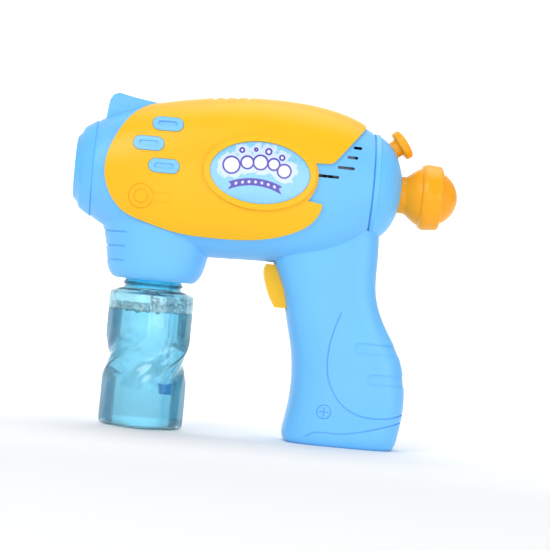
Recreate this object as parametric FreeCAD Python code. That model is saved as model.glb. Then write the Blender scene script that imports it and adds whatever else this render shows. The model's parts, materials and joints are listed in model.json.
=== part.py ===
"""A battery bubble machine in the shape of a toy pistol: a blue two-part case with yellow side
panels, a screw-on bottle under the nose, a blower, a geared hose pump and three cells in the grip.

Millimetres. +Z is up, -X is the way the bubbles leave, Y = 0 is the parting plane of the case.
The origin is the centre of the footprint: the bottle and the grip both stand on Z = 0.
"""

import FreeCAD, Part
import math
import os

from FreeCAD import Rotation, Vector

OUT = "parts"

# Driving dimensions of the outside
WALL = 2.0                  # thickness of the blue case
PANEL_T = 1.2               # yellow skin on the case
PANEL_GAP = 0.05
BODY_Z = 115.0              # height of the rear cap's and knob's axis
NOSE_Z = 112.0              # height of the nozzle's axis
KNOB_X = 72.5
KNOB_R = 12.5
BOTTLE_X = -46.0
BOTTLE_SIDE = 32.4          # across the flats of the rounded square section
BOTTLE_CORNER_R = 9.4
BOTTLE_WALL = 1.2

# Body sections: x, top z, bottom z, half width, squareness (2 is an ellipse)
BODY_SECTIONS = [
    (-76.5, 133.0, 91.0, 21.0, 2.0),
    (-67.5, 137.8, 86.0, 23.4, 2.2),
    (-51.5, 142.2, 80.5, 25.8, 2.4),
    (-26.5, 147.0, 77.6, 27.0, 2.5),
    (-1.5, 148.8, 78.2, 27.4, 2.5),
    (23.5, 147.0, 79.4, 26.8, 2.4),
    (36.5, 143.6, 83.6, 25.4, 2.2),
    (45.0, 139.4, 90.6, 24.4, 2.0),
]
# Grip sections: z, front x, back x, half width
GRIP_SECTIONS = [
    (0.0, 19.0, 65.5, 15.4),
    (1.6, 17.4, 66.8, 17.2),
    (8.0, 17.2, 68.3, 17.9),
    (16.0, 18.4, 69.4, 17.9),
    (30.0, 18.8, 68.8, 17.5),
    (42.0, 17.2, 65.4, 16.9),
    (55.0, 14.0, 57.8, 16.5),
    (68.0, 10.6, 52.8, 16.8),
    (80.0, 5.6, 52.1, 17.2),
    (88.0, 5.1, 52.0, 17.3),
    (96.0, 4.6, 51.6, 17.4),
]
GRIP_SQUARENESS = 3.2
# Bottle housing sections: z, centre x, half length along x, half width
HOUSING_SECTIONS = [
    (65.2, -46.0, 17.2, 16.8),
    (66.8, -46.0, 19.3, 18.6),
    (78.0, -45.6, 22.7, 20.6),
    (87.0, -45.6, 24.9, 21.2),
    (98.0, -45.6, 24.4, 20.8),
]
HOUSING_SQUARENESS = 2.2

# Inside
GEAR_Z = 113.0
MOTOR_X = 20.0
MODULE = 0.6
PINION_TEETH = 8
WHEEL_TEETH = 40
IDLER_TEETH = 10
IDLER_X = MOTOR_X - MODULE * (PINION_TEETH + WHEEL_TEETH) / 2
PUMP_X = IDLER_X - MODULE * (IDLER_TEETH + WHEEL_TEETH) / 2
HOSE_Y = 7.5
HOSE_R = 1.6
HOSE_BORE_R = 0.9
HOSE_LOOP_R = 11.7
STRAW_X = -39.0
STRAW_FOOT_Z = 16.8
THREAD_PITCH = 4.0
NECK_R = 12.4
NECK_BORE_R = 10.8
NECK_THREAD_R = 13.5
SOCKET_R = 14.2
SOCKET_THREAD_R = 12.9
CELL_R = 7.1
CELL_TILT = 6.0             # degrees that the cells lean, heads towards the nozzle
CELLS_X = 39.8
CELLS_Z = 33.0
CELL_ROW_Y = 6.2
COVER_SCREW = (50.6, 50.0)
SCREW_PLACES = [(-24.0, 83.6), (-4.0, 84.2), (-56.0, 134.4), (5.0, 141.2), (34.0, 137.0), (45.5, 80.5),
                (62.4, 19.5)]
BUTTON_AXIS = Vector(0.8, 0, 0.6)
BUTTON_CENTRE = Vector(58.5, 0, 135.7)
KNOB_Z = 113.5

X_AXIS = Vector(1, 0, 0)
Y_AXIS = Vector(0, 1, 0)
Z_AXIS = Vector(0, 0, 1)
FAR = 200.0


# ---------------------------------------------------------------- helpers

def box(x0, x1, y0, y1, z0, z1):
    return Part.makeBox(x1 - x0, y1 - y0, z1 - z0, Vector(x0, y0, z0))


def cylinder(radius, start, axis, length):
    return Part.makeCylinder(radius, length, Vector(*start), axis)


def ring(outer_r, inner_r, start, axis, length):
    margin = axis * 1.0
    bore = Part.makeCylinder(inner_r, length + 2, Vector(*start) - margin, axis)
    return cylinder(outer_r, start, axis, length).cut(bore)


def along_y(radius, x, z, y0, y1):
    return cylinder(radius, (x, y0, z), Y_AXIS, y1 - y0)


def ring_y(outer_r, inner_r, x, z, y0, y1):
    return ring(outer_r, inner_r, (x, y0, z), Y_AXIS, y1 - y0)


def fuse(shapes):
    shapes = list(shapes)
    return shapes[0].multiFuse(shapes[1:]).removeSplitter() if len(shapes) > 1 else shapes[0]


def mirrored(shape):
    return shape.mirror(Vector(0, 0, 0), Y_AXIS)


def closed_curve(points):
    curve = Part.BSplineCurve()
    curve.interpolate(Points=points, PeriodicFlag=True)
    return Part.Wire(curve.toShape())


def superellipse(half_a, half_b, squareness, count=24):
    """Points round a superellipse, as (a, b) pairs from the +a end."""
    power = 2.0 / squareness
    points = []
    for i in range(count):
        angle = 2 * math.pi * i / count
        c, s = math.cos(angle), math.sin(angle)
        points.append((half_a * math.copysign(abs(c) ** power, c),
                       half_b * math.copysign(abs(s) ** power, s)))
    return points


def prism_y(outline, y0, y1):
    """A wire or a list of (x, z) corners, pushed along Y."""
    wire = outline
    if isinstance(outline, list):
        corners = [Vector(x, 0, z) for x, z in outline]
        wire = Part.makePolygon(corners + corners[:1])
    face = Part.Face(wire)
    face.translate(Vector(0, y0, 0))
    return face.extrude(Vector(0, y1 - y0, 0))


def prism_x(corners, x0, x1):
    """A list of (y, z) corners, pushed along X."""
    points = [Vector(x0, y, z) for y, z in corners]
    return Part.Face(Part.makePolygon(points + points[:1])).extrude(Vector(x1 - x0, 0, 0))


def slot_wire(x, z, length, height):
    """A slot with round ends, centred on x, z in the XZ plane."""
    r, run = height / 2, (length - height) / 2
    a, b = Vector(x - run, 0, z - r), Vector(x + run, 0, z - r)
    c, d = Vector(x + run, 0, z + r), Vector(x - run, 0, z + r)
    right = Part.Arc(b, Vector(x + run + r, 0, z), c).toShape()
    left = Part.Arc(d, Vector(x - run - r, 0, z), a).toShape()
    return Part.Wire([Part.makeLine(a, b), right, Part.makeLine(c, d), left])


def oval_wire(x, z, half_x, half_z):
    ellipse = Part.Ellipse(Vector(x + half_x, 0, z), Vector(x, 0, z + half_z), Vector(x, 0, z))
    return Part.Wire(ellipse.toShape())


def revolve_x(profile, z):
    """Corners as (x, r), turned about the X axis at height z."""
    points = [Vector(x, 0, z + r) for x, r in profile]
    face = Part.Face(Part.makePolygon(points + points[:1]))
    return face.revolve(Vector(0, 0, z), X_AXIS, 360)


def revolve_axis(profile, origin, axis):
    """Corners as (s, r), s along axis from origin, turned about that axis."""
    side = X_AXIS if abs(axis.y) > 0.9 else axis.cross(Y_AXIS).normalize()
    points = [origin + axis * s + side * r for s, r in profile]
    face = Part.Face(Part.makePolygon(points + points[:1]))
    return face.revolve(origin, axis, 360)


def rounded_path(points, radii):
    """Straight runs through the points, with a tangent arc of the given radius at each corner."""
    points = [Vector(*p) for p in points]
    edges, start = [], points[0]
    for before, corner, after, radius in zip(points, points[1:], points[2:], radii):
        into = (corner - before).normalize()
        out = (after - corner).normalize()
        turn = into.getAngle(out)
        reach = radius * math.tan(turn / 2)
        a, b = corner - into * reach, corner + out * reach
        bisector = (out - into).normalize()
        centre = corner + bisector * (radius / math.cos(turn / 2))
        edges.append(Part.makeLine(start, a))
        edges.append(Part.Arc(a, centre - bisector * radius, b).toShape())
        start = b
    edges.append(Part.makeLine(start, points[-1]))
    return edges


def round_sweep(edges, radius):
    path = Part.Wire(edges)
    first = edges[0]
    start = first.valueAt(first.FirstParameter)
    circle = Part.Wire(Part.makeCircle(radius, start, first.tangentAt(first.FirstParameter)))
    return path.makePipeShell([circle], True, False)


def coil(radius, wire_r, pitch, turns, start, axis):
    """A coil spring whose first turn starts at start."""
    rise = pitch / (2 * math.pi)
    steps = [2 * math.pi * i / 12 for i in range(int(12 * turns) + 1)]
    curve = Part.BSplineCurve()
    curve.interpolate([Vector(radius * math.cos(a), radius * math.sin(a), rise * a) for a in steps])
    path = curve.toShape()
    start_at, heading = path.valueAt(path.FirstParameter), path.tangentAt(path.FirstParameter)
    circle = Part.Wire(Part.makeCircle(wire_r, start_at, heading))
    solid = Part.Wire([path]).makePipeShell([circle], True, True)
    solid.Placement = FreeCAD.Placement(Vector(*start), Rotation(Z_AXIS, axis))
    return solid


def screw_thread(crest_r, root_r, pitch, turns, z0, root_w, crest_w):
    """A helical ridge from root_r out or in to crest_r, standing on Z."""
    helix = Part.makeHelix(pitch, pitch * turns, root_r)
    corners = [Vector(root_r, 0, -root_w / 2), Vector(crest_r, 0, -crest_w / 2),
               Vector(crest_r, 0, crest_w / 2), Vector(root_r, 0, root_w / 2)]
    profile = Part.makePolygon(corners + corners[:1])
    ridge = Part.Wire(helix).makePipeShell([profile], True, True)
    ridge.translate(Vector(0, 0, z0))
    return ridge


def self_tapping_screw(start, axis, length, shank_r=1.25, head_r=2.5):
    """A pan-head screw whose head's underside is at start; its shank runs along axis."""
    head_h = 1.6
    head = revolve_axis([(0, 0), (0, head_r), (-head_h * 0.5, head_r), (-head_h, head_r * 0.6),
                         (-head_h, 0)], start, axis)
    shank = revolve_axis([(0, 0), (0, shank_r), (length - 2, shank_r), (length, 0.3), (length, 0)],
                         start, axis)
    slots = []
    for turn in (0, 90):
        slot = Part.makeBox(0.7, 3.2, 1.0, Vector(-0.35, -1.6, -0.7))
        slot.rotate(Vector(0, 0, 0), Z_AXIS, turn)
        slot.Placement = FreeCAD.Placement(start - axis * head_h, Rotation(Z_AXIS, axis)).multiply(
            slot.Placement)
        slots.append(slot)
    return head.fuse(shank).cut(Part.makeCompound(slots))


def gear(teeth, x, z, y0, y1, bore_r, phase):
    """A spur gear along Y. phase turns it, in degrees, about +Y."""
    pitch_r = MODULE * teeth / 2
    tip_r, root_r = pitch_r + MODULE * 0.9, pitch_r - MODULE * 1.25
    pitch_half = math.pi / teeth * 0.42
    tip_half = pitch_half - math.atan(MODULE * 0.9 * math.tan(math.radians(20)) / tip_r)
    root_half = pitch_half + math.atan(MODULE * 1.25 * math.tan(math.radians(16)) / root_r)
    corners = []
    for i in range(teeth):
        mid = 2 * math.pi * i / teeth
        for half, r in ((-root_half, root_r), (-tip_half, tip_r), (tip_half, tip_r), (root_half, root_r)):
            corners.append(Vector(r * math.cos(mid + half), 0, r * math.sin(mid + half)))
    blank = Part.Face(Part.makePolygon(corners + corners[:1])).extrude(Vector(0, y1 - y0, 0))
    if bore_r:
        blank = blank.cut(along_y(bore_r, 0, 0, -1, y1 - y0 + 1))
    blank.rotate(Vector(0, 0, 0), Y_AXIS, phase)
    blank.translate(Vector(x, y0, z))
    return blank


# ---------------------------------------------------------------- the case's surfaces

def body_solid(inset):
    """The barrel of the case, with its surface moved in by inset."""
    wires = []
    for x, top, bottom, half_w, squareness in BODY_SECTIONS:
        centre, half_h = (top + bottom) / 2, (top - bottom) / 2
        ends = 0.0
        if x == BODY_SECTIONS[0][0]:
            ends = 0.6 * max(inset, 0)
        if x == BODY_SECTIONS[-1][0]:
            ends = -0.6 * max(inset, 0)
        points = [Vector(x + ends, y, centre + z)
                  for y, z in superellipse(half_w - inset, half_h - inset, squareness)]
        wires.append(closed_curve(points))
    return Part.makeLoft(wires, True, False)


def grip_solid(inset):
    wires = []
    for z, front, back, half_w in GRIP_SECTIONS:
        centre, half_l = (front + back) / 2, (back - front) / 2
        lift = max(inset, 0) if z == 0 else 0.0
        points = [Vector(centre + x, y, z + lift)
                  for y, x in superellipse(half_w - inset, half_l - inset, GRIP_SQUARENESS)]
        wires.append(closed_curve(points))
    return Part.makeLoft(wires, True, False)


def housing_solid(inset):
    wires = []
    for z, centre, half_l, half_w in HOUSING_SECTIONS:
        lift = max(inset, 0) * 0.6 if z == HOUSING_SECTIONS[0][0] else 0.0
        points = [Vector(centre + x, y, z + lift)
                  for y, x in superellipse(half_w - inset, half_l - inset, HOUSING_SQUARENESS)]
        wires.append(closed_curve(points))
    return Part.makeLoft(wires, True, False)


def whole_case(inset):
    return body_solid(inset).fuse([grip_solid(inset), housing_solid(inset)])


def left_of_centre():
    return box(-FAR, FAR, -FAR, 0, -FAR, FAR)


def leaned(shape):
    """Turns something built upright to the lean of the cells."""
    turned = shape.copy()
    turned.rotate(Vector(CELLS_X, 0, CELLS_Z), Y_AXIS, -CELL_TILT)
    return turned


def skin(inner, outer, outline):
    """The layer over the left of the barrel between two offsets, within an XZ outline."""
    layer = body_solid(-outer).cut(body_solid(-inner))
    return layer.common(prism_y(outline, -40, 0))


def spline_through(points):
    curve = Part.BSplineCurve()
    curve.interpolate([Vector(x, 0, z) for x, z in points])
    return curve.toShape()


def panel_outline():
    """The edge of the yellow panel: one sweep round the front, then the cut-away behind the badge."""
    front = [(10.0, 160.0), (-30.0, 156.0), (-52.5, 143.3), (-59.5, 139.0), (-65.5, 131.5), (-69.5, 123.0),
             (-71.5, 114.0), (-70.5, 106.0), (-67.0, 99.0), (-61.5, 93.8), (-53.5, 90.7), (-38.5, 87.0),
             (-21.5, 86.0), (-1.5, 87.3), (12.5, 91.5), (19.5, 96.0), (22.7, 100.5), (23.7, 105.0)]
    notch = [(17.2, 105.9), (19.6, 110.0), (20.9, 115.0), (20.6, 119.0), (19.2, 122.5)]
    corner = [(24.6, 122.8), (26.5, 123.2), (28.2, 124.7)]
    tip = [(39.6, 139.1), (40.7, 140.9), (41.2, 143.2)]
    edges = [spline_through(front), Part.makeLine(Vector(23.7, 0, 105.0), Vector(17.2, 0, 105.9)),
             spline_through(notch), Part.makeLine(Vector(19.2, 0, 122.5), Vector(24.6, 0, 122.8)),
             spline_through(corner), Part.makeLine(Vector(28.2, 0, 124.7), Vector(39.6, 0, 139.1)),
             spline_through(tip), Part.makeLine(Vector(41.2, 0, 143.2), Vector(41.2, 0, 160.0)),
             Part.makeLine(Vector(41.2, 0, 160.0), Vector(10.0, 0, 160.0))]
    return Part.Wire(edges)


# ---------------------------------------------------------------- the case

def cap_profile(inset):
    """Half section of the rear cap, as (x, r)."""
    dome = [(48.4, 23.4), (50.5, 22.1), (52.5, 20.5), (54.5, 18.4), (56.3, 15.7), (57.8, 12.2),
            (59.1, 8.2), (59.9, 4.0)]
    return [(x - inset * 0.55, r - inset) for x, r in dome] + [(60.2 - inset, 0.0)]


def cap_envelope():
    corners = [(45.0, 0.0), (45.0, 23.2), (45.8, 23.2), (45.8, 24.3), (47.8, 24.3)] + cap_profile(0)
    return revolve_x(corners, BODY_Z)


def sight_fin():
    """The raised sight over the nose, with sloping sides."""
    outline = [(-74.0, 130.0), (-73.2, 137.2), (-72.6, 142.8), (-71.0, 145.4), (-68.6, 146.3),
               (-61.5, 144.8), (-50.0, 143.2), (-50.0, 130.0)]
    blade = prism_y(outline, -6, 6)
    slope = prism_x([(-6.5, 136.0), (6.5, 136.0), (3.4, 150.0), (-3.4, 150.0)], -80, -40)
    foot = box(-80, -40, -6.5, 6.5, 120, 136)
    return blade.common(slope.fuse(foot))


def screw_bosses():
    """Left halves of the screw bosses; the screws bite into these."""
    return [along_y(3.4, x, z, -40, 0) for x, z in SCREW_PLACES]


def inner_ribs():
    """Ribs for the left half: trigger guide, board posts, speaker cup and blower posts."""
    guide = box(28.0, 30.0, -17, 0, 61.0, 77.5).cut(box(27, 31, -3.35, 0, 67.6, 74.4))
    posts = [box(x, x + 2.4, -9.0, -5.0, 77.0, 88.9) for x in (-15.4, 6.0)]
    cup = ring(11.6, 10.2, (-19.0, 0, 138.0), Z_AXIS, 14).common(left_of_centre())
    return [guide, cup] + posts


def case_half_blank():
    """The left half of the case before the openings that differ from side to side."""
    half = left_of_centre()
    inside = whole_case(WALL)
    outside = whole_case(0).fuse(sight_fin()).common(half)
    shell = outside.cut(inside)
    rooted = whole_case(WALL / 2)
    hidden = [rib.common(rooted) for rib in inner_ribs() + screw_bosses()]
    shell = shell.fuse(hidden)
    cuts = [cylinder(18.4, (-80, 0, NOSE_Z), X_AXIS, 6.5), cylinder(20.0, (43.0, 0, BODY_Z), X_AXIS, 5),
            cylinder(14.6, (BOTTLE_X, 0, 60), Z_AXIS, 8), box(-4, 24, -6.9, 1, 57.6, 77.9), cap_envelope()]
    cuts += sound_slots()
    cuts += [housing_groove(z) for z in (72.8, 79.0, 85.2)]
    vents = [(37.2, 131.1, 3.9), (35.2, 126.6, 4.9), (32.7, 121.8, 7.5), (25.2, 117.4, 9.4)]
    cuts += [prism_y(slot_wire(x, z, length, 1.3), -30, -15) for x, z, length in vents]
    return shell.cut(Part.makeCompound(cuts))


def sound_slots():
    """Four slots across the crown over the speaker."""
    return [box(x - 0.8, x + 0.8, -10.5, 1, 143, 152) for x in (-26.5, -21.5, -16.5, -11.5)]


def housing_groove(z):
    """A thin line scored round the front of the bottle housing."""
    outer = housing_solid(0).common(box(-FAR, -59.5, -FAR, FAR, z - 0.35, z + 0.35))
    return outer.cut(housing_solid(0.45))


def grip_lines():
    """Marks on the left of the grip: the palm pad and foot lines, two finger notches and a target."""
    pad = [(37.3, 59.0), (34.5, 50.0), (33.1, 40.0), (33.9, 31.0), (37.2, 23.5), (42.2, 18.0), (47.5, 15.3),
           (55.5, 14.1), (63.5, 14.9), (71.0, 17.4)]
    foot = [(26.8, 3.9), (29.2, 5.4), (38.5, 6.0), (50.5, 7.8), (60.5, 10.6), (71.0, 13.8)]
    shallow = grip_solid(0).cut(grip_solid(0.5))
    notches = [prism_y(slot_wire(x, z, 36, 4.8), -30, 0) for x, z in ((62.6, 44.2), (69.4, 31.0))]
    cross = [box(31.6, 35.6, -30, 0, 15.0, 15.4), box(33.4, 33.8, -30, 0, 13.2, 17.2)]
    target = fuse([ring_y(3.2, 2.8, 33.6, 15.2, -30, 0)] + cross)
    return shallow.common(fuse([scored_band(pad, 0.3), scored_band(foot, 0.3), target] + notches))


def scored_band(points, half_width):
    """A ribbon of even width along the curve through the points, as deep as the whole left half."""
    curve = Part.BSplineCurve()
    curve.interpolate([Vector(x, 0, z) for x, z in points])
    first, last = curve.FirstParameter, curve.LastParameter
    above, below = [], []
    for i in range(25):
        u = first + (last - first) * i / 24
        aside = curve.tangent(u)[0].cross(Y_AXIS).normalize() * half_width
        above.append(curve.value(u) + aside)
        below.append(curve.value(u) - aside)
    sides = [spline_through([(v.x, v.z) for v in side]) for side in (above, below)]
    ends = [Part.makeLine(above[-1], below[-1]), Part.makeLine(below[0], above[0])]
    face = Part.Face(Part.Wire([sides[0], ends[0], sides[1], ends[1]]))
    return face.extrude(Vector(0, -30, 0))


def battery_opening(inset):
    """The doorway in the right of the grip, as a leaning prism."""
    x0, x1, z0, z1 = 24.2 + inset, 55.4 - inset, 5.6 + inset, 59.0 - inset
    r = 4.0 - inset
    door = box(x0, x1, 2, 30, z0, z1)
    upright = [edge for edge in door.Edges if abs(edge.tangentAt(edge.FirstParameter).y) > 0.99]
    return leaned(door.makeFillet(r, upright))


def left_shell(blank):
    pilots = [along_y(1.3, x, z, -9, 1) for x, z in SCREW_PLACES]
    shell = blank.cut(Part.makeCompound(pilots)).cut(grip_lines())
    posts = [along_y(2.6, x, z, -30, -19.4) for x, z in ((24.0, 127.0), (6.0, 103.5))]
    rooted = body_solid(WALL / 2)
    return shell.fuse([post.common(rooted) for post in posts])


def right_shell(blank):
    shell = mirrored(blank)
    rooted = whole_case(WALL / 2)
    bosses = [along_y(4.0, x, z, 0, 40).common(rooted) for x, z in SCREW_PLACES]
    posts = [along_y(2.6, x, z, 22.4, 30).common(body_solid(WALL / 2)) for x, z in GEAR_PILLARS]
    shell = shell.fuse(bosses + posts)
    holes = [along_y(1.45, x, z, -1, 40) for x, z in SCREW_PLACES]
    holes += [along_y(2.8, x, z, 10, 40) for x, z in SCREW_PLACES]
    return shell.cut(Part.makeCompound(holes + [battery_opening(0)]))


def case_screws():
    return Part.makeCompound([self_tapping_screw(Vector(x, 10, z), -Y_AXIS, 17) for x, z in SCREW_PLACES])


def trim_places():
    return [(-46.0, 133.5), (-53.5, 124.3), (-46.0, 115.0)]


def side_panel():
    panel = skin(PANEL_GAP, PANEL_T + PANEL_GAP, panel_outline())
    cuts = [housing_solid(-PANEL_GAP), grip_solid(-PANEL_GAP), sight_fin()]
    cuts += [prism_y(slot_wire(x, z, 13.6, 6.3), -40, 0) for x, z in trim_places()]
    cuts += [prism_y(oval_wire(-4.5, 116.0, 22.4, 14.1), -40, 0)]
    cuts += sound_slots() + [panel_marks()]
    return panel.cut(Part.makeCompound(cuts))


def panel_marks():
    """Two rings and a short bar, sunk a little into the panel below the pill-shaped trims."""
    x, z = -54.7, 101.3
    rings = [ring_y(5.5, 5.0, x, z, -40, 0), ring_y(3.2, 2.7, x, z, -40, 0)]
    bar = prism_y(slot_wire(-48.2, z, 14.0, 4.4), -40, 0).cut(along_y(5.5, x, z, -41, 1))
    layer = body_solid(-PANEL_T - 1.0).cut(body_solid(0.3 - PANEL_T))
    return layer.common(fuse(rings + [bar]))


def badge():
    return skin(PANEL_GAP, 1.9, oval_wire(-4.5, 116.0, 21.7, 13.4))


def badge_rim():
    ring_shape = skin(PANEL_GAP, 2.6, oval_wire(-4.5, 116.0, 22.3, 14.0))
    lip = skin(PANEL_T + PANEL_GAP, 2.6, oval_wire(-4.5, 116.0, 24.4, 16.0))
    bed = prism_y(oval_wire(-4.5, 116.0, 21.8, 13.5), -40, 0)
    return ring_shape.fuse(lip).cut(bed)


def trims():
    pieces = []
    for x, z in trim_places():
        pill = skin(PANEL_GAP, 1.7, slot_wire(x, z, 13.3, 6.0))
        recess = skin(1.1, 3.0, slot_wire(x, z, 8.4, 2.4))
        pieces.append(pill.cut(recess))
    return Part.makeCompound(pieces)


def nozzle_shroud():
    """The nose: a cone, a chamfer and a lip, with a flat-bottomed recess in each side."""
    outer = [(-76.5, 20.8), (-77.0, 21.3), (-81.6, 18.3), (-82.4, 17.3), (-83.0, 15.8), (-84.3, 14.2),
             (-84.9, 13.6), (-85.0, 13.2)]
    inner = [(-85.0, 11.6), (-83.4, 12.2), (-81.0, 16.0), (-78.0, 17.2), (-74.0, 17.2), (-74.0, 18.3),
             (-76.5, 18.3)]
    shroud = revolve_x(outer + inner, NOSE_Z)
    recess = prism_y([(-85.5, 126.5), (-84.0, 124.6), (-80.8, 119.6), (-80.8, 105.0), (-84.0, 100.4),
                      (-85.5, 98.5)], -30, 30)
    for side in (-1, 1):
        corners = [Vector(x, y * side, 90) for x, y in ((-86.0, 13.4), (-84.4, 14.1), (-80.8, 17.2),
                                                       (-80.8, 30.0), (-86.0, 30.0))]
        wedge = Part.Face(Part.makePolygon(corners + corners[:1])).extrude(Vector(0, 0, 50))
        shroud = shroud.cut(wedge.common(recess))
    return shroud


def rear_cap():
    outer = cap_envelope()
    inner = [(40.0, 0.0), (40.0, 21.2), (47.0, 21.2)] + cap_profile(2.0)
    hollow = revolve_x(inner, BODY_Z)
    spigot = ring(19.9, 18.2, (41.6, 0, BODY_Z), X_AXIS, 4.4)
    flange = ring(22.0, 18.2, (45.0, 0, BODY_Z), X_AXIS, 1.4)
    base = BUTTON_CENTRE - BUTTON_AXIS * 15.4
    sleeve = Part.makeCylinder(7.4, 10.0, base, BUTTON_AXIS).common(revolve_x(
        [(30.0, 0.0), (30.0, 22.0), (47.0, 22.0)] + cap_profile(1.0), BODY_Z))
    cap = outer.cut(hollow).fuse([spigot, flange, sleeve])
    bore = Part.makeCylinder(6.1, 8.0, BUTTON_CENTRE - BUTTON_AXIS * 15.5, BUTTON_AXIS)
    hole = Part.makeCylinder(4.25, 20, BUTTON_CENTRE - BUTTON_AXIS * 12, BUTTON_AXIS)
    knob_hole = cylinder(5.0, (50.0, 0, KNOB_Z), X_AXIS, 20)
    return cap.cut(Part.makeCompound([bore, hole, knob_hole]))


def knob_section():
    """Half section of the knob's neck, flare and band, above the axis at z = 0."""
    corners = [Vector(77.4, 0, 0), Vector(57.4, 0, 0), Vector(57.4, 0, 8.3), Vector(61.4, 0, 8.3)]
    edges = [Part.makeLine(a, b) for a, b in zip(corners, corners[1:])]
    edges.append(spline_through([(61.4, 8.3), (62.4, 8.9), (64.1, 10.3), (66.0, 11.7), (67.9, 12.7)]))
    edges.append(Part.makeLine(Vector(67.9, 0, 12.7), Vector(68.4, 0, 13.8)))
    edges.append(spline_through([(68.4, 13.8), (69.2, 14.3), (72.6, 14.65), (75.9, 14.4)]))
    edges.append(Part.Arc(Vector(75.9, 0, 14.4), Vector(76.9, 0, 14.0), Vector(77.4, 0, 13.1)).toShape())
    edges.append(Part.makeLine(Vector(77.4, 0, 13.1), corners[0]))
    return Part.Face(Part.Wire(edges))


def rear_knob():
    """A ball with a broad band round it, on a flared neck; fixed to the cap."""
    ball = Part.makeSphere(KNOB_R, Vector(KNOB_X, 0, KNOB_Z))
    section = knob_section()
    section.translate(Vector(0, 0, KNOB_Z))
    neck = section.revolve(Vector(0, 0, KNOB_Z), X_AXIS, 360)
    stem = cylinder(5.0, (54.0, 0, KNOB_Z), X_AXIS, 6)
    return ball.fuse(neck).cut(cap_envelope()).fuse(stem)


def rear_button():
    """The mushroom button: cap, stalk and the collar that keeps it in."""
    profile = [(2.3, 0.0), (2.1, 4.9), (1.6, 6.2), (0.9, 6.75), (-1.2, 6.75), (-1.8, 6.3), (-2.05, 5.4),
               (-2.05, 3.9), (-9.4, 3.9), (-9.4, 5.6), (-10.8, 5.6), (-10.8, 1.6), (-14.0, 1.6),
               (-14.0, 0.0)]
    return revolve_axis(profile, BUTTON_CENTRE, BUTTON_AXIS)


def button_spring():
    start = BUTTON_CENTRE - BUTTON_AXIS * 15.0
    return coil(3.2, 0.3, 1.1, 3.2, (start.x, start.y, start.z), BUTTON_AXIS)


def button_switch():
    """A push switch plugged into the end of the cap's sleeve."""
    disc = Part.makeCylinder(7.4, 1.8, BUTTON_CENTRE - BUTTON_AXIS * 17.2, BUTTON_AXIS)
    back = Part.makeCylinder(4.5, 3.0, BUTTON_CENTRE - BUTTON_AXIS * 20.2, BUTTON_AXIS)
    well = Part.makeCylinder(2.0, 1.4, BUTTON_CENTRE - BUTTON_AXIS * 16.8, BUTTON_AXIS)
    return disc.fuse(back).cut(well)


# ---------------------------------------------------------------- the nose

def wand_funnel():
    """Leads the air to the ring that holds the film; its rim is notched to carry the liquid."""
    funnel = revolve_x([(-66.0, 14.4), (-72.0, 14.4), (-78.6, 10.6), (-80.4, 10.6), (-80.4, 8.4),
                        (-78.6, 8.4), (-72.0, 12.6), (-71.0, 13.2), (-66.0, 13.2)], NOSE_Z)
    notches = []
    for i in range(20):
        notch = box(-80.9, -79.2, -0.45, 0.45, NOSE_Z + 8.0, NOSE_Z + 11.5)
        notch.rotate(Vector(0, 0, NOSE_Z), X_AXIS, 18 * i)
        notches.append(notch)
    return funnel.cut(Part.makeCompound(notches))


def lamp_boards():
    plate = ring(17.2, 14.8, (-75.9, 0, NOSE_Z), X_AXIS, 1.4)
    gaps = [box(-80, -70, -9.5, 9.5, NOSE_Z, 140), box(-80, -70, -7, 7, 80, NOSE_Z)]
    return plate.cut(Part.makeCompound(gaps))


def lamps():
    lights = []
    for y in (-15.0, 15.0):
        stem = cylinder(1.5, (-78.6, y, NOSE_Z), X_AXIS, 2.7)
        lights.append(stem.fuse(Part.makeSphere(1.5, Vector(-78.6, y, NOSE_Z))))
    return Part.makeCompound(lights)


def drip_tray():
    """Catches what drips from the ring and lets it run back into the bottle."""
    floor = cylinder(15.8, (BOTTLE_X, 0, 74.6), Z_AXIS, 1.2)
    wall = ring(15.8, 14.6, (BOTTLE_X, 0, 75.8), Z_AXIS, 11.2)
    ramp = prism_y([(-80.4, 102.0), (-73.6, 98.7), (-56.0, 84.0), (-56.0, 81.0), (-73.6, 96.0),
                    (-80.4, 99.4)], -4.5, 4.5)
    channel = prism_y([(-81.0, 106.0), (-73.6, 104.0), (-50.0, 84.0), (-50.0, 77.5), (-73.6, 97.0),
                       (-81.0, 100.6)], -3.5, 3.5)
    cup_space = cylinder(14.6, (BOTTLE_X, 0, 75.8), Z_AXIS, 20)
    tray = floor.fuse([wall, ramp.cut(cup_space)]).cut(channel)
    return tray.cut(Part.makeCompound([cylinder(2.0, (STRAW_X, 0, 70), Z_AXIS, 10),
                                       cylinder(2.4, (-51.5, 0, 70), Z_AXIS, 10)]))


def bottle_collar():
    """The threaded socket the bottle screws into."""
    wall = ring(16.0, SOCKET_R, (BOTTLE_X, 0, 66.7), Z_AXIS, 7.9)
    lid = ring(15.0, 9.9, (BOTTLE_X, 0, 73.3), Z_AXIS, 1.3)
    ridge = screw_thread(SOCKET_THREAD_R, SOCKET_R + 0.3, THREAD_PITCH, 1.1, 68.1, 1.7, 0.7)
    ridge.translate(Vector(BOTTLE_X, 0, 0))
    return wall.fuse([lid, ridge])


# ---------------------------------------------------------------- the bottle

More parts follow.
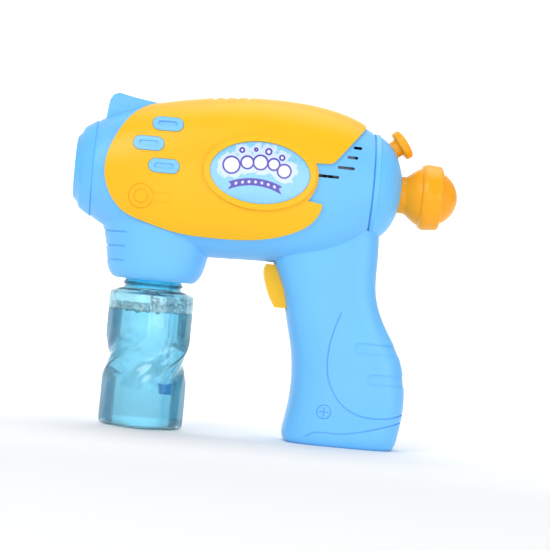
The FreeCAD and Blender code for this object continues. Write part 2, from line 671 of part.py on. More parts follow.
def bottle_section(z, size, roundness, turn, inset):
    """One ring of the bottle: a rounded square, blended to a circle of the same reach."""
    half, corner = BOTTLE_SIDE / 2 - inset, BOTTLE_CORNER_R - inset
    points = []
    for i in range(48):
        angle = 2 * math.pi * i / 48
        c, s = abs(math.cos(angle - turn)), abs(math.sin(angle - turn))
        big, small = max(c, s), min(c, s)
        reach = half / big
        if reach * small > half - corner:
            centre = half - corner
            along = centre * (big + small)
            reach = along + math.sqrt(along ** 2 - 2 * centre ** 2 + corner ** 2)
        reach = (reach * (1 - roundness) + (NECK_R + 1.2 - inset) * roundness) * size
        points.append(Vector(BOTTLE_X + reach * math.cos(angle), reach * math.sin(angle), z))
    return closed_curve(points)


def bottle_turn(z):
    """The square is twisted by a quarter turn through the middle of the bottle."""
    t = min(max((z - 17.0) / 26.0, 0.0), 1.0)
    return math.radians(-45 + 90 * t * t * (3 - 2 * t))


def bottle_form(inset):
    rings = [(0.0 + inset, 0.93, 0.0), (0.9 + inset, 0.985, 0.0), (2.6 + inset, 1.0, 0.0)]
    rings += [(z, 1.0, 0.0) for z in (9.0, 15.0, 18.0, 21.0, 24.0, 27.0, 30.0, 33.0, 36.0, 39.0, 42.0,
                                      45.0, 51.0)]
    rings += [(56.4 - inset * 0.5, 1.0, 0.0), (58.6 - inset * 0.6, 0.97, 0.1),
              (60.2 - inset * 0.8, 0.97, 0.5), (61.5 - inset * 0.9, 0.97, 1.0)]
    wires = [bottle_section(z, size, roundness, bottle_turn(z), inset) for z, size, roundness in rings]
    return Part.makeLoft(wires, True, False)


def bottle():
    neck = cylinder(NECK_R, (BOTTLE_X, 0, 60.9), Z_AXIS, 10.7)
    ridge = screw_thread(NECK_THREAD_R, NECK_R - 0.3, THREAD_PITCH, 1.1, 66.0, 1.7, 0.7)
    ridge.translate(Vector(BOTTLE_X, 0, 0))
    collar = cylinder(13.6, (BOTTLE_X, 0, 61.3), Z_AXIS, 1.1)
    form = bottle_form(0).fuse([neck, ridge, collar])
    return form.cut(bottle_form(BOTTLE_WALL)).cut(cylinder(NECK_BORE_R, (BOTTLE_X, 0, 59.5), Z_AXIS, 20))


def bottle_seal():
    return ring(12.5, 10.0, (BOTTLE_X, 0, 71.6), Z_AXIS, 1.3)


# ---------------------------------------------------------------- air and liquid

def scroll_outline(extra):
    """The spiral round the impeller joined to its outlet, as a solid 1 mm thick."""
    points = []
    for i in range(31):
        angle = math.radians(150 + 10 * i)
        r = 16.8 + 4.2 * i / 30 + extra
        points.append(Vector(MOTOR_X + r * math.cos(angle), 0, GEAR_Z + r * math.sin(angle)))
    curve = Part.BSplineCurve()
    curve.interpolate(points)
    return Part.Face(Part.Wire([curve.toShape(), Part.makeLine(points[-1], points[0])]))


def scroll_block(extra, y0, y1):
    spiral = scroll_outline(extra)
    spiral.translate(Vector(0, y0, 0))
    outlet = box(2, MOTOR_X, y0, y1, 121.4 - extra, 134.0 + extra)
    return spiral.extrude(Vector(0, y1 - y0, 0)).fuse(outlet)


def fan_housing():
    outer = scroll_block(1.2, -18.2, -5.6)
    inner = scroll_block(0, -18.2, -6.8).fuse(box(1, 3, -18.2, -6.8, 121.4, 134))
    return outer.cut(inner).cut(along_y(3.05, MOTOR_X, GEAR_Z, -8, -5))


def fan_cover():
    plate = scroll_block(1.2, -19.4, -18.2)
    return plate.cut(along_y(9.0, MOTOR_X, GEAR_Z, -20, -18))


def air_duct():
    """Takes the air from the blower's outlet across to the centre line of the nozzle."""
    stations = [(2.0, -12.5, 127.7, 6.9, 7.5, 9.0), (-6.0, -12.2, 127.0, 6.9, 7.6, 7.0),
                (-24.0, -9.6, 122.6, 8.0, 9.0, 4.0), (-44.0, -3.6, 115.4, 11.2, 11.6, 2.5),
                (-58.0, -0.2, 112.1, 13.1, 13.1, 2.0), (-64.0, 0.0, 112.0, 13.15, 13.15, 2.0),
                (-70.0, 0.0, 112.0, 13.15, 13.15, 2.0)]
    solids = []
    for wall in (0.0, 1.2):
        wires = []
        for x, y, z, half_w, half_h, squareness in stations:
            wires.append(closed_curve([Vector(x, y + a, z + b) for a, b in
                                       superellipse(half_w - wall, half_h - wall, squareness, 36)]))
        solids.append(Part.makeLoft(wires, True, False))
    return solids[0].cut(solids[1])


def impeller():
    hub = ring_y(3.2, 1.0, MOTOR_X, GEAR_Z, -17.6, -7.6)
    plate = ring_y(15.4, 1.0, MOTOR_X, GEAR_Z, -8.8, -7.6)
    blades = []
    for i in range(10):
        start = Vector(6.5, 0, 0)
        curve = Part.Arc(start, Vector(10.6, 0, 2.0), Vector(15.2, 0, 1.2)).toShape()
        inner = curve.copy()
        inner.translate(Vector(0, 0, 0.9))
        first, last = Part.makeLine(start, Vector(6.5, 0, 0.9)), Part.makeLine(Vector(15.2, 0, 1.2),
                                                                              Vector(15.2, 0, 2.1))
        blade = Part.Face(Part.Wire([curve, last, inner, first])).extrude(Vector(0, -8.6, 0))
        blade.translate(Vector(MOTOR_X, -8.7, GEAR_Z))
        blade.rotate(Vector(MOTOR_X, 0, GEAR_Z), Y_AXIS, 36 * i)
        blades.append(blade)
    return hub.fuse([plate] + blades)


def motor_shaft():
    return along_y(1.0, MOTOR_X, GEAR_Z, -17.2, 18.0)


def motor():
    """A small flat-sided motor whose shaft runs right through it."""
    can = along_y(10.0, MOTOR_X, GEAR_Z, -5.6, 12.6).common(
        box(MOTOR_X - 11, MOTOR_X + 11, -6, 13, GEAR_Z - 7.6, GEAR_Z + 7.6))
    bosses = [along_y(3.0, MOTOR_X, GEAR_Z, -6.6, -5.6), along_y(3.0, MOTOR_X, GEAR_Z, 12.6, 13.8)]
    return can.fuse(bosses).cut(along_y(1.05, MOTOR_X, GEAR_Z, -8, 15))


GEAR_PILLARS = [(-20.6, 102.8), (-20.6, 123.2), (27.6, 103.6), (27.6, 122.4)]


def gear_plate_outline():
    return box(-23.5, 30.4, 0, 1.2, 100.8, 125.2)


def gearbox_plate():
    plate = gear_plate_outline()
    plate.translate(Vector(0, 12.6, 0))
    pillars = [along_y(1.8, x, z, 13.8, 21.2) for x, z in GEAR_PILLARS]
    holes = [along_y(3.0, MOTOR_X, GEAR_Z, 12, 15), along_y(1.0, IDLER_X, GEAR_Z, 12, 15),
             along_y(1.55, PUMP_X, GEAR_Z, 12, 15)]
    return plate.fuse(pillars).cut(Part.makeCompound(holes))


def gearbox_cover():
    plate = gear_plate_outline()
    plate.translate(Vector(0, 21.2, 0))
    holes = [along_y(1.0, IDLER_X, GEAR_Z, 20, 23), along_y(1.55, PUMP_X, GEAR_Z, 20, 23),
             along_y(4.0, MOTOR_X, GEAR_Z, 20, 23)]
    return plate.cut(Part.makeCompound(holes))


def idler_gear():
    wheel = gear(WHEEL_TEETH, IDLER_X, GEAR_Z, 15.0, 17.4, 1.05, 4.5)
    pinion = gear(IDLER_TEETH, IDLER_X, GEAR_Z, 17.4, 20.6, 1.05, 0)
    return wheel.fuse(pinion)


def pump_rotor():
    """Two cheeks on the pump axle with three pins for the rollers between them."""
    parts = [along_y(1.5, PUMP_X, GEAR_Z, 2.2, 22.2), along_y(8.6, PUMP_X, GEAR_Z, 3.9, 5.0),
             along_y(8.6, PUMP_X, GEAR_Z, 10.0, 11.1)]
    for x, z in roller_places():
        parts.append(along_y(1.0, x, z, 4.5, 10.5))
    return fuse(parts)


def roller_places():
    places = []
    for i in range(3):
        angle = math.radians(30 + 120 * i)
        places.append((PUMP_X + 6.4 * math.cos(angle), GEAR_Z + 6.4 * math.sin(angle)))
    return places


def pump_roller(number):
    x, z = roller_places()[number]
    return ring_y(3.3, 1.05, x, z, 5.3, 9.7)


def pump_housing():
    """The backing track that the rollers squeeze the hose against."""
    base = along_y(15.2, PUMP_X, GEAR_Z, 1.6, 3.2)
    track = ring_y(15.2, 13.35, PUMP_X, GEAR_Z, 3.2, 12.6)
    track = track.common(box(PUMP_X, PUMP_X + 20, 0, 20, 90, 140))
    return base.fuse(track).cut(along_y(1.55, PUMP_X, GEAR_Z, 0, 5))


def pump_hose():
    """One hose from the dip tube, round the pump's rear half and forward to the ring."""
    low = rounded_path([(STRAW_X, 0, 77), (STRAW_X, 0, 90), (-30, HOSE_Y, GEAR_Z - HOSE_LOOP_R),
                        (PUMP_X, HOSE_Y, GEAR_Z - HOSE_LOOP_R)], [6, 8])
    bend = Part.Arc(Vector(PUMP_X, HOSE_Y, GEAR_Z - HOSE_LOOP_R),
                    Vector(PUMP_X + HOSE_LOOP_R, HOSE_Y, GEAR_Z),
                    Vector(PUMP_X, HOSE_Y, GEAR_Z + HOSE_LOOP_R)).toShape()
    high = rounded_path([(PUMP_X, HOSE_Y, GEAR_Z + HOSE_LOOP_R), (-24, HOSE_Y, GEAR_Z + HOSE_LOOP_R),
                         (-36, 8.5, 126.5), (-70.5, 8.5, 126.5), (-77.6, 2.5, 127.0), (-80.0, 0.4, 123.9)],
                        [20, 20, 6, 2.5])
    edges = low + [bend] + high
    return round_sweep(edges, HOSE_R).cut(round_sweep(edges, HOSE_BORE_R))


def dip_tube():
    tube = ring(2.0, 1.1, (STRAW_X, 0, STRAW_FOOT_Z), Z_AXIS, 80.5 - STRAW_FOOT_Z)
    return tube.cut(cylinder(HOSE_R, (STRAW_X, 0, 77.0), Z_AXIS, 5))


def tube_filter():
    """A slotted cup over the foot of the dip tube."""
    z = STRAW_FOOT_Z - 1.3
    cup = cylinder(2.9, (STRAW_X, 0, z), Z_AXIS, 5.2).cut(cylinder(2.0, (STRAW_X, 0, z + 1.0), Z_AXIS, 5))
    slots = [box(STRAW_X - 4, STRAW_X + 4, -0.4, 0.4, z - 0.7, z + 1.2),
             box(STRAW_X - 0.4, STRAW_X + 0.4, -4, 4, z - 0.7, z + 1.2)]
    return cup.cut(Part.makeCompound(slots))


# ---------------------------------------------------------------- power and control

def cell_places():
    """x, y and which way up, for the three cells."""
    return [(CELLS_X - 7.75, -CELL_ROW_Y, 1), (CELLS_X + 7.75, -CELL_ROW_Y, 1), (CELLS_X, CELL_ROW_Y, -1)]


def cell(number):
    x, y, up = cell_places()[number]
    low = 8.0 if up > 0 else 5.9
    can_z = low if up > 0 else low + 1.2
    nub_z = low + 49.2 if up > 0 else low
    can = cylinder(CELL_R, (x, y, can_z), Z_AXIS, 49.2)
    return leaned(can.fuse(cylinder(2.7, (x, y, nub_z), Z_AXIS, 1.2)))


def battery_box():
    outer = box(23.6, 56.0, -14.4, 5.0, 4.2, 60.2)
    ends = [box(23.6, 56.0, -14.4, 12.8, 4.2, 5.4), box(23.6, 56.0, -14.4, 12.8, 59.0, 60.2)]
    inner = box(24.7, 54.9, -13.5, 30, 5.4, 59.0)
    x, z = COVER_SCREW
    boss = along_y(3.0, x, z, 1.6, 11.4).fuse(box(x, 55.2, 1.6, 5.0, z - 0.8, z + 0.8))
    tray = fuse([outer] + ends).cut(inner).fuse(boss).cut(along_y(1.3, x, z, 1.0, 12))
    return leaned(tray).common(grip_solid(WALL + 0.1))


def battery_springs():
    coils = []
    for x, y, up in cell_places():
        if up > 0:
            coils.append(coil(3.2, 0.32, 0.75, 2.2, (x, y, 5.8), Z_AXIS))
        else:
            coils.append(coil(3.2, 0.32, 0.75, 2.2, (x, y, 56.75), Z_AXIS))
    return leaned(Part.makeCompound(coils))


def battery_plates():
    plates = []
    for x, y, up in cell_places():
        z = 58.5 if up > 0 else 5.45
        plates.append(box(x - 5, x + 5, y - 4.5, y + 4.5, z, z + 0.4))
    return leaned(Part.makeCompound(plates))


def battery_cover():
    wall = grip_solid(0).cut(grip_solid(WALL)).common(battery_opening(0.3))
    x, z = COVER_SCREW
    boss = leaned(along_y(3.9, x, z, 12.2, 30)).common(grip_solid(WALL / 2))
    grooves = [leaned(box(29, 50.6, 10, 30, low, low + 0.9)) for low in (12.0, 15.0, 18.0)]
    shallow = grip_solid(0).cut(grip_solid(0.6))
    cover = wall.fuse(boss).cut(shallow.common(Part.makeCompound(grooves)))
    holes = [leaned(along_y(1.45, x, z, 5, 30)), leaned(along_y(2.8, x, z, 13.6, 30))]
    return cover.cut(Part.makeCompound(holes))


def cover_screw():
    return leaned(self_tapping_screw(Vector(COVER_SCREW[0], 13.6, COVER_SCREW[1]), -Y_AXIS, 9.5))


def trigger():
    """A curved blade with a tail that slides through the guide rib."""
    front = spline_through([(3.0, 77.3), (2.2, 74.4), (3.2, 69.0), (5.4, 63.4), (8.4, 58.4)])
    corners = [(8.4, 58.4), (13.0, 58.4), (15.2, 60.6), (15.2, 77.3), (3.0, 77.3)]
    edges = [front] + [Part.makeLine(Vector(a[0], 0, a[1]), Vector(b[0], 0, b[1]))
                       for a, b in zip(corners, corners[1:])]
    blade = prism_y(Part.Wire(edges), -6.4, 6.4)
    tail = box(15.2, 33.0, -3.0, 3.0, 68.0, 74.0)
    post = cylinder(1.4, (15.0, 0, 64.6), X_AXIS, 3.4)
    return blade.fuse([tail, post])


def trigger_spring():
    return coil(2.1, 0.3, 1.45, 8.0, (15.6, 0, 64.6), X_AXIS)


def trigger_switch():
    body = box(39.2, 46.0, -3.2, 3.2, 66.4, 75.2)
    legs = [box(41.0 + 2.2 * i, 41.5 + 2.2 * i, -0.8, 0.8, 63.6, 66.4) for i in range(2)]
    return body.fuse(legs)


def circuit_board():
    board = box(-18, 10, -9.5, 9.5, 88.9, 90.4)
    parts = [box(-8, -2, -4, 4, 90.4, 91.8), cylinder(2.6, (4, 4, 90.4), Z_AXIS, 5.4),
             cylinder(2.6, (4, -4, 90.4), Z_AXIS, 5.4), box(-15, -11, -3, 3, 90.4, 93.2)]
    return board.fuse(parts)


def speaker():
    basket = cylinder(10.2, (-19, 0, 138.2), Z_AXIS, 3.4)
    magnet = cylinder(5.5, (-19, 0, 135.2), Z_AXIS, 3.0)
    cone = Part.makeCone(3.0, 8.6, 2.2, Vector(-19, 0, 139.5), Z_AXIS)
    return basket.fuse(magnet).cut(cone)


def main():
    os.makedirs(OUT, exist_ok=True)
    blank = case_half_blank()
    panel, plate, rim, inlays = side_panel(), badge(), badge_rim(), trims()
    nodes = {
        "left_shell": left_shell(blank),
        "right_shell": right_shell(blank),
        "left_side_panel": panel,
        "right_side_panel": mirrored(panel),
        "left_badge": plate,
        "right_badge": mirrored(plate),
        "left_badge_rim": rim,
        "right_badge_rim": mirrored(rim),
        "left_trims": inlays,
        "right_trims": mirrored(inlays),
        "case_screws": case_screws(),
        "nozzle_shroud": nozzle_shroud(),
        "rear_cap": rear_cap(),
        "rear_knob": rear_knob(),
        "rear_button": rear_button(),
        "button_spring": button_spring(),
        "button_switch": button_switch(),
        "wand_funnel": wand_funnel(),
        "lamp_boards": lamp_boards(),
        "lamps": lamps(),
        "drip_tray": drip_tray(),
        "bottle_collar": bottle_collar(),
        "bottle": bottle(),
        "bottle_seal": bottle_seal(),
        "fan_housing": fan_housing(),
        "fan_cover": fan_cover(),
        "air_duct": air_duct(),
        "impeller": impeller(),
        "motor_shaft": motor_shaft(),
        "motor_pinion": gear(PINION_TEETH, MOTOR_X, GEAR_Z, 14.6, 17.7, 1.0, 0),
        "motor": motor(),
        "gearbox_plate": gearbox_plate(),
        "gearbox_cover": gearbox_cover(),
        "idler_gear": idler_gear(),
        "idler_pin": along_y(1.0, IDLER_X, GEAR_Z, 12.6, 22.4),
        "pump_wheel": gear(WHEEL_TEETH, PUMP_X, GEAR_Z, 18.2, 20.4, 1.5, 4.5),
        "pump_rotor": pump_rotor(),
        "pump_housing": pump_housing(),
        "pump_hose": pump_hose(),
        "dip_tube": dip_tube(),
        "tube_filter": tube_filter(),
        "battery_box": battery_box(),
        "battery_springs": battery_springs(),
        "battery_plates": battery_plates(),
        "battery_cover": battery_cover(),
        "cover_screw": cover_screw(),
        "trigger": trigger(),
        "trigger_spring": trigger_spring(),
        "trigger_switch": trigger_switch(),
        "circuit_board": circuit_board(),
        "speaker": speaker(),
    }
    for number in range(3):
        nodes["cell_%d" % (number + 1)] = cell(number)
        nodes["pump_roller_%d" % (number + 1)] = pump_roller(number)
    for name, shape in nodes.items():
        shape.exportStep(os.path.join(OUT, name + ".step"))


if __name__ == "__main__":
    main()
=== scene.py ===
"""Looks for a toy bubble machine: moulded case, clear bottle of bubble liquid, camera and light.

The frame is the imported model, in metres: +Z up, -X the way the bubbles leave, -Y the toy's left.
"""

import json
import logging
import math
import random
from dataclasses import dataclass, field
from enum import Enum
from typing import Iterable, Protocol, Sequence

import bpy
from mathutils import Matrix, Vector


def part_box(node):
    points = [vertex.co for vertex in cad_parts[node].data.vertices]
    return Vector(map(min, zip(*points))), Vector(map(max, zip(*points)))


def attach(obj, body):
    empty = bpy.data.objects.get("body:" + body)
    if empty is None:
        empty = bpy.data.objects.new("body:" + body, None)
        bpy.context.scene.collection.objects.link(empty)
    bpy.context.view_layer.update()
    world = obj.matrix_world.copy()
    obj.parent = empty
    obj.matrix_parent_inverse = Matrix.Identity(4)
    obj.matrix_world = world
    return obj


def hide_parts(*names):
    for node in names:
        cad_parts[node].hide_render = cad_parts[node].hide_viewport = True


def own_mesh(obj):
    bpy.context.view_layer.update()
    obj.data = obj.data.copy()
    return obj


log = logging.getLogger("bubble_machine")

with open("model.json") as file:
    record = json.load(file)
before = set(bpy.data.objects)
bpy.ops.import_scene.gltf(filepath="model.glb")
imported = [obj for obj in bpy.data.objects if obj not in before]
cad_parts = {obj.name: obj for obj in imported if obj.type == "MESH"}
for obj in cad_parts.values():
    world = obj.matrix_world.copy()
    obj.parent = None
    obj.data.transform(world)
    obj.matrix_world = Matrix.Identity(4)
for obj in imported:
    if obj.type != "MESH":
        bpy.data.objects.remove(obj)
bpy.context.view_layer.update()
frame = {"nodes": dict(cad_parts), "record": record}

Colour = tuple[float, float, float]
MM = 0.001
TOY_MIDDLE = Vector((0.0, 0.0, 0.08))


# ---------------------------------------------------------------- small tools

def deselect_all() -> None:
    """Leaves object mode with nothing selected."""
    if bpy.context.object and bpy.context.object.mode != "OBJECT":
        bpy.ops.object.mode_set(mode="OBJECT")
    bpy.ops.object.select_all(action="DESELECT")


def take(obj: bpy.types.Object) -> bpy.types.Object:
    """Makes one object the only selected and active one.

    Args:
        obj: The object to select.

    Returns:
        The same object.
    """
    deselect_all()
    obj.select_set(True)
    bpy.context.view_layer.objects.active = obj
    return obj


def settle(obj: bpy.types.Object) -> bpy.types.Object:
    """Puts an object's place, turn and scale into its mesh."""
    take(obj)
    bpy.ops.object.transform_apply(location=True, rotation=True, scale=True)
    return obj


def apply_modifier(obj: bpy.types.Object, kind: str, **values: object) -> None:
    """Adds a modifier and applies it at once.

    Args:
        obj: The object to change.
        kind: Blender's name for the modifier's type.
        **values: Settings of the modifier.
    """
    take(obj)
    modifier = obj.modifiers.new(kind.title(), kind)
    for name, value in values.items():
        setattr(modifier, name, value)
    bpy.ops.object.modifier_apply(modifier=modifier.name)


def smooth(obj: bpy.types.Object, degrees: float = 35.0) -> None:
    """Shades an object smooth up to an angle."""
    take(obj)
    bpy.ops.object.shade_smooth_by_angle(angle=math.radians(degrees))


def wind(obj: bpy.types.Object, turns: float, rise: float, fineness: int) -> None:
    """Screws a flat outline up the Z axis into a closed helix with its ends capped.

    Args:
        obj: The outline, standing beside the axis.
        turns: How many times it goes round.
        rise: How far it climbs in all, in metres.
        fineness: How many steps make one turn.
    """
    steps = round(fineness * turns)
    apply_modifier(obj, "SCREW", angle=2 * math.pi * turns, screw_offset=rise, steps=steps,
                   render_steps=steps, axis="Z", use_merge_vertices=True)
    bpy.ops.object.mode_set(mode="EDIT")
    bpy.ops.mesh.select_all(action="DESELECT")
    bpy.ops.mesh.select_mode(type="EDGE")
    bpy.ops.mesh.select_non_manifold()
    bpy.ops.mesh.edge_face_add()
    bpy.ops.mesh.select_all(action="SELECT")
    bpy.ops.mesh.normals_make_consistent(inside=False)
    bpy.ops.object.mode_set(mode="OBJECT")


# ---------------------------------------------------------------- shader parts

class Nodes:
    """Adds nodes to one tree in short calls."""

    def __init__(self, tree: bpy.types.NodeTree) -> None:
        """Keeps the tree that the calls add to."""
        self.tree = tree

    def add(self, kind: str, **values: object) -> bpy.types.Node:
        """Adds a node.

        Args:
            kind: The node's type name, without the ShaderNode in front.
            **values: Properties of the node, or inputs by name with spaces as underscores.

        Returns:
            The new node.
        """
        node = self.tree.nodes.new(kind if kind.startswith("Node") else "ShaderNode" + kind)
        for name, value in values.items():
            if hasattr(node, name):
                setattr(node, name, value)
            else:
                node.inputs[name.replace("_", " ")].default_value = value
        return node

    def link(self, start: bpy.types.NodeSocket, end: bpy.types.NodeSocket) -> None:
        """Joins two sockets."""
        self.tree.links.new(start, end)

    def math(self, operation: str, a: object, b: object = 0.0, clamp: bool = False) -> bpy.types.NodeSocket:
        """Adds a Math node.

        Args:
            operation: The sum to do.
            a: A socket or a number.
            b: A socket or a number.
            clamp: Whether the result is kept between 0 and 1.

        Returns:
            The result's socket.
        """
        node = self.add("Math", operation=operation, use_clamp=clamp)
        for slot, value in zip(node.inputs, (a, b)):
            if isinstance(value, bpy.types.NodeSocket):
                self.link(value, slot)
            else:
                slot.default_value = value
        return node.outputs[0]

    def mix(self, factor: object, a: object, b: object) -> bpy.types.NodeSocket:
        """Mixes two colours.

        Args:
            factor: A socket or a number from 0 to 1.
            a: The colour, or its socket, at 0.
            b: The colour, or its socket, at 1.

        Returns:
            The mixed colour's socket.
        """
        node = self.add("Mix", data_type="RGBA")
        for slot, value in ((node.inputs[0], factor), (node.inputs[6], a), (node.inputs[7], b)):
            if isinstance(value, bpy.types.NodeSocket):
                self.link(value, slot)
            elif isinstance(value, tuple):
                slot.default_value = (*value, 1.0)
            else:
                slot.default_value = value
        return node.outputs[2]

    def scaled(self, value: bpy.types.NodeSocket, factor: float, shift: float) -> bpy.types.NodeSocket:
        """Adds value times factor plus shift."""
        node = self.add("Math", operation="MULTIPLY_ADD")
        self.link(value, node.inputs[0])
        node.inputs[1].default_value = factor
        node.inputs[2].default_value = shift
        return node.outputs[0]

    def noise(self, where: bpy.types.NodeSocket, scale: float, detail: float) -> bpy.types.NodeSocket:
        """Adds a noise of the given scale and detail at the coordinates, and returns its value."""
        node = self.add("TexNoise", Scale=scale, Detail=detail)
        self.link(where, node.inputs["Vector"])
        return node.outputs["Fac"]

    def distance(self, where: bpy.types.NodeSocket, point: Sequence[float]) -> bpy.types.NodeSocket:
        """Adds the distance from a point."""
        node = self.add("VectorMath", operation="DISTANCE")
        self.link(where, node.inputs[0])
        node.inputs[1].default_value = point
        return node.outputs["Value"]

    def soft_below(self, value: bpy.types.NodeSocket, limit: object, blur: float) -> bpy.types.NodeSocket:
        """Adds a mask that is 1 where the value is below the limit.

        Args:
            value: The socket to test.
            limit: A socket or a number.
            blur: How wide the change from 1 to 0 is.

        Returns:
            The mask's socket.
        """
        return self.math("DIVIDE", self.math("SUBTRACT", limit, value), blur, clamp=True)


def moulded_skin_group() -> bpy.types.NodeTree:
    """Builds the surface that all the moulded plastics share.

    Returns:
        A group that takes Colour, Roughness, Grain and Depth and gives Colour, Roughness and Normal.
    """
    found = bpy.data.node_groups.get("moulded_skin")
    if found:
        return found
    tree = bpy.data.node_groups.new("moulded_skin", "ShaderNodeTree")
    for name, kind, value in (("Colour", "NodeSocketColor", (0.5, 0.5, 0.5, 1.0)),
                              ("Roughness", "NodeSocketFloat", 0.4), ("Grain", "NodeSocketFloat", 2500.0),
                              ("Depth", "NodeSocketFloat", 0.05)):
        tree.interface.new_socket(name, in_out="INPUT", socket_type=kind).default_value = value
    tree.interface.new_socket("Colour", in_out="OUTPUT", socket_type="NodeSocketColor")
    tree.interface.new_socket("Roughness", in_out="OUTPUT", socket_type="NodeSocketFloat")
    tree.interface.new_socket("Normal", in_out="OUTPUT", socket_type="NodeSocketVector")
    nodes = Nodes(tree)
    given, result = nodes.add("NodeGroupInput"), nodes.add("NodeGroupOutput")
    where = nodes.add("TexCoord").outputs["Object"]
    cloud = nodes.noise(where, 38.0, 3.0)
    grain = nodes.noise(where, 2500.0, 2.0)
    nodes.link(given.outputs["Grain"], grain.node.inputs["Scale"])
    tone = nodes.add("HueSaturation")
    nodes.link(nodes.scaled(cloud, 0.10, 0.95), tone.inputs["Value"])
    nodes.link(given.outputs["Colour"], tone.inputs["Color"])
    nodes.link(tone.outputs["Color"], result.inputs["Colour"])
    rub = nodes.math("ADD", nodes.scaled(cloud, 0.14, -0.07), given.outputs["Roughness"])
    nodes.link(rub, result.inputs["Roughness"])
    bump = nodes.add("Bump", Distance=0.0002)
    nodes.link(given.outputs["Depth"], bump.inputs["Strength"])
    nodes.link(grain, bump.inputs["Height"])
    nodes.link(bump.outputs["Normal"], result.inputs["Normal"])
    return tree


def parting_line_group() -> bpy.types.NodeTree:
    """Builds the hairline where the two halves of the mould meet.

    Returns:
        A group that takes Width, in metres, and gives Line, 1 on the plane Y = 0 and 0 away from it.
    """
    found = bpy.data.node_groups.get("parting_line")
    if found:
        return found
    tree = bpy.data.node_groups.new("parting_line", "ShaderNodeTree")
    width = tree.interface.new_socket("Width", in_out="INPUT", socket_type="NodeSocketFloat")
    width.default_value = 0.00015
    tree.interface.new_socket("Line", in_out="OUTPUT", socket_type="NodeSocketFloat")
    nodes = Nodes(tree)
    given, result = nodes.add("NodeGroupInput"), nodes.add("NodeGroupOutput")
    split = nodes.add("SeparateXYZ")
    nodes.link(nodes.add("TexCoord").outputs["Object"], split.inputs[0])
    away = nodes.math("DIVIDE", nodes.math("ABSOLUTE", split.outputs["Y"]), given.outputs["Width"])
    nodes.link(nodes.math("SUBTRACT", 1.0, away, clamp=True), result.inputs["Line"])
    return tree


# ---------------------------------------------------------------- finishes

class Finish(Protocol):
    """Anything that can make a material."""

    name: str

    def build(self) -> bpy.types.Material:
        """Makes the material, or finds it if it's made already."""


def start_material(name: str) -> tuple[bpy.types.Material, Nodes, bpy.types.Node]:
    """Makes an empty material with its shader.

    Args:
        name: The material's name.

    Returns:
        The material, a helper on its node tree, and its Principled shader.
    """
    material = bpy.data.materials.new(name)
    material.use_nodes = True
    return material, Nodes(material.node_tree), material.node_tree.nodes["Principled BSDF"]


@dataclass(frozen=True)
class MouldedPlastic:
    """A moulded plastic: a colour with a faint cloudiness, a fine grain and perhaps a parting line."""

    name: str
    colour: Colour
    roughness: float = 0.42
    grain: float = 2600.0
    depth: float = 0.06
    shine: float = 0.5
    seam: bool = False

    def build(self) -> bpy.types.Material:
        """Makes the material, or finds it if it's made already."""
        found = bpy.data.materials.get(self.name)
        if found:
            return found
        material, nodes, shader = start_material(self.name)
        skin = nodes.add("Group", node_tree=moulded_skin_group())
        skin.inputs["Colour"].default_value = (*self.colour, 1.0)
        skin.inputs["Roughness"].default_value = self.roughness
        skin.inputs["Grain"].default_value = self.grain
        skin.inputs["Depth"].default_value = self.depth
        colour = skin.outputs["Colour"]
        if self.seam:
            line = nodes.add("Group", node_tree=parting_line_group())
            dark = tuple(channel * 0.35 for channel in self.colour)
            colour = nodes.mix(line.outputs["Line"], colour, dark)
        nodes.link(colour, shader.inputs["Base Color"])
        nodes.link(skin.outputs["Roughness"], shader.inputs["Roughness"])
        nodes.link(skin.outputs["Normal"], shader.inputs["Normal"])
        shader.inputs["IOR"].default_value = 1.48
        shader.inputs["Specular IOR Level"].default_value = self.shine
        return material


@dataclass(frozen=True)
class ClearPlastic:
    """Clear tinted plastic or liquid, which lets most of a lamp's light through to what is inside."""

    name: str
    colour: Colour
    roughness: float = 0.02
    index: float = 1.49
    ripple: float = 0.0
    alpha: float = 1.0
    shadow: float = 0.22

    def build(self) -> bpy.types.Material:
        """Makes the material, or finds it if it's made already."""
        found = bpy.data.materials.get(self.name)
        if found:
            return found
        material, nodes, shader = start_material(self.name)
        where = nodes.add("TexCoord").outputs["Object"]
        cloud = nodes.noise(where, 90.0, 2.0)
        paler = tuple(1.0 - (1.0 - channel) * 0.8 for channel in self.colour)
        nodes.link(nodes.mix(cloud, self.colour, paler), shader.inputs["Base Color"])
        nodes.link(nodes.scaled(cloud, 0.03, self.roughness), shader.inputs["Roughness"])
        if self.ripple:
            bump = nodes.add("Bump", Strength=self.ripple, Distance=0.0004)
            nodes.link(cloud, bump.inputs["Height"])
            nodes.link(bump.outputs["Normal"], shader.inputs["Normal"])
        shader.inputs["IOR"].default_value = self.index
        shader.inputs["Transmission Weight"].default_value = 1.0
        lamp_ray = nodes.add("LightPath").outputs["Is Shadow Ray"]
        nodes.link(nodes.scaled(lamp_ray, self.shadow - self.alpha, self.alpha), shader.inputs["Alpha"])
        return material


@dataclass(frozen=True)
class FrothFilm:
    """Soap bubbles in a mass: whitish, wet and half see-through."""

    name: str
    colour: Colour
    alpha: float = 0.75

    def build(self) -> bpy.types.Material:
        """Makes the material, or finds it if it's made already."""
        found = bpy.data.materials.get(self.name)
        if found:
            return found
        material, nodes, shader = start_material(self.name)
        where = nodes.add("TexCoord").outputs["Object"]
        speck = nodes.noise(where, 700.0, 2.0)
        nodes.link(nodes.mix(speck, self.colour, (1.0, 1.0, 1.0)), shader.inputs["Base Color"])
        nodes.link(nodes.scaled(speck, 0.25, 0.1), shader.inputs["Roughness"])
        nodes.link(nodes.scaled(speck, 0.5, self.alpha - 0.25), shader.inputs["Alpha"])
        shader.inputs["IOR"].default_value = 1.33
        return material


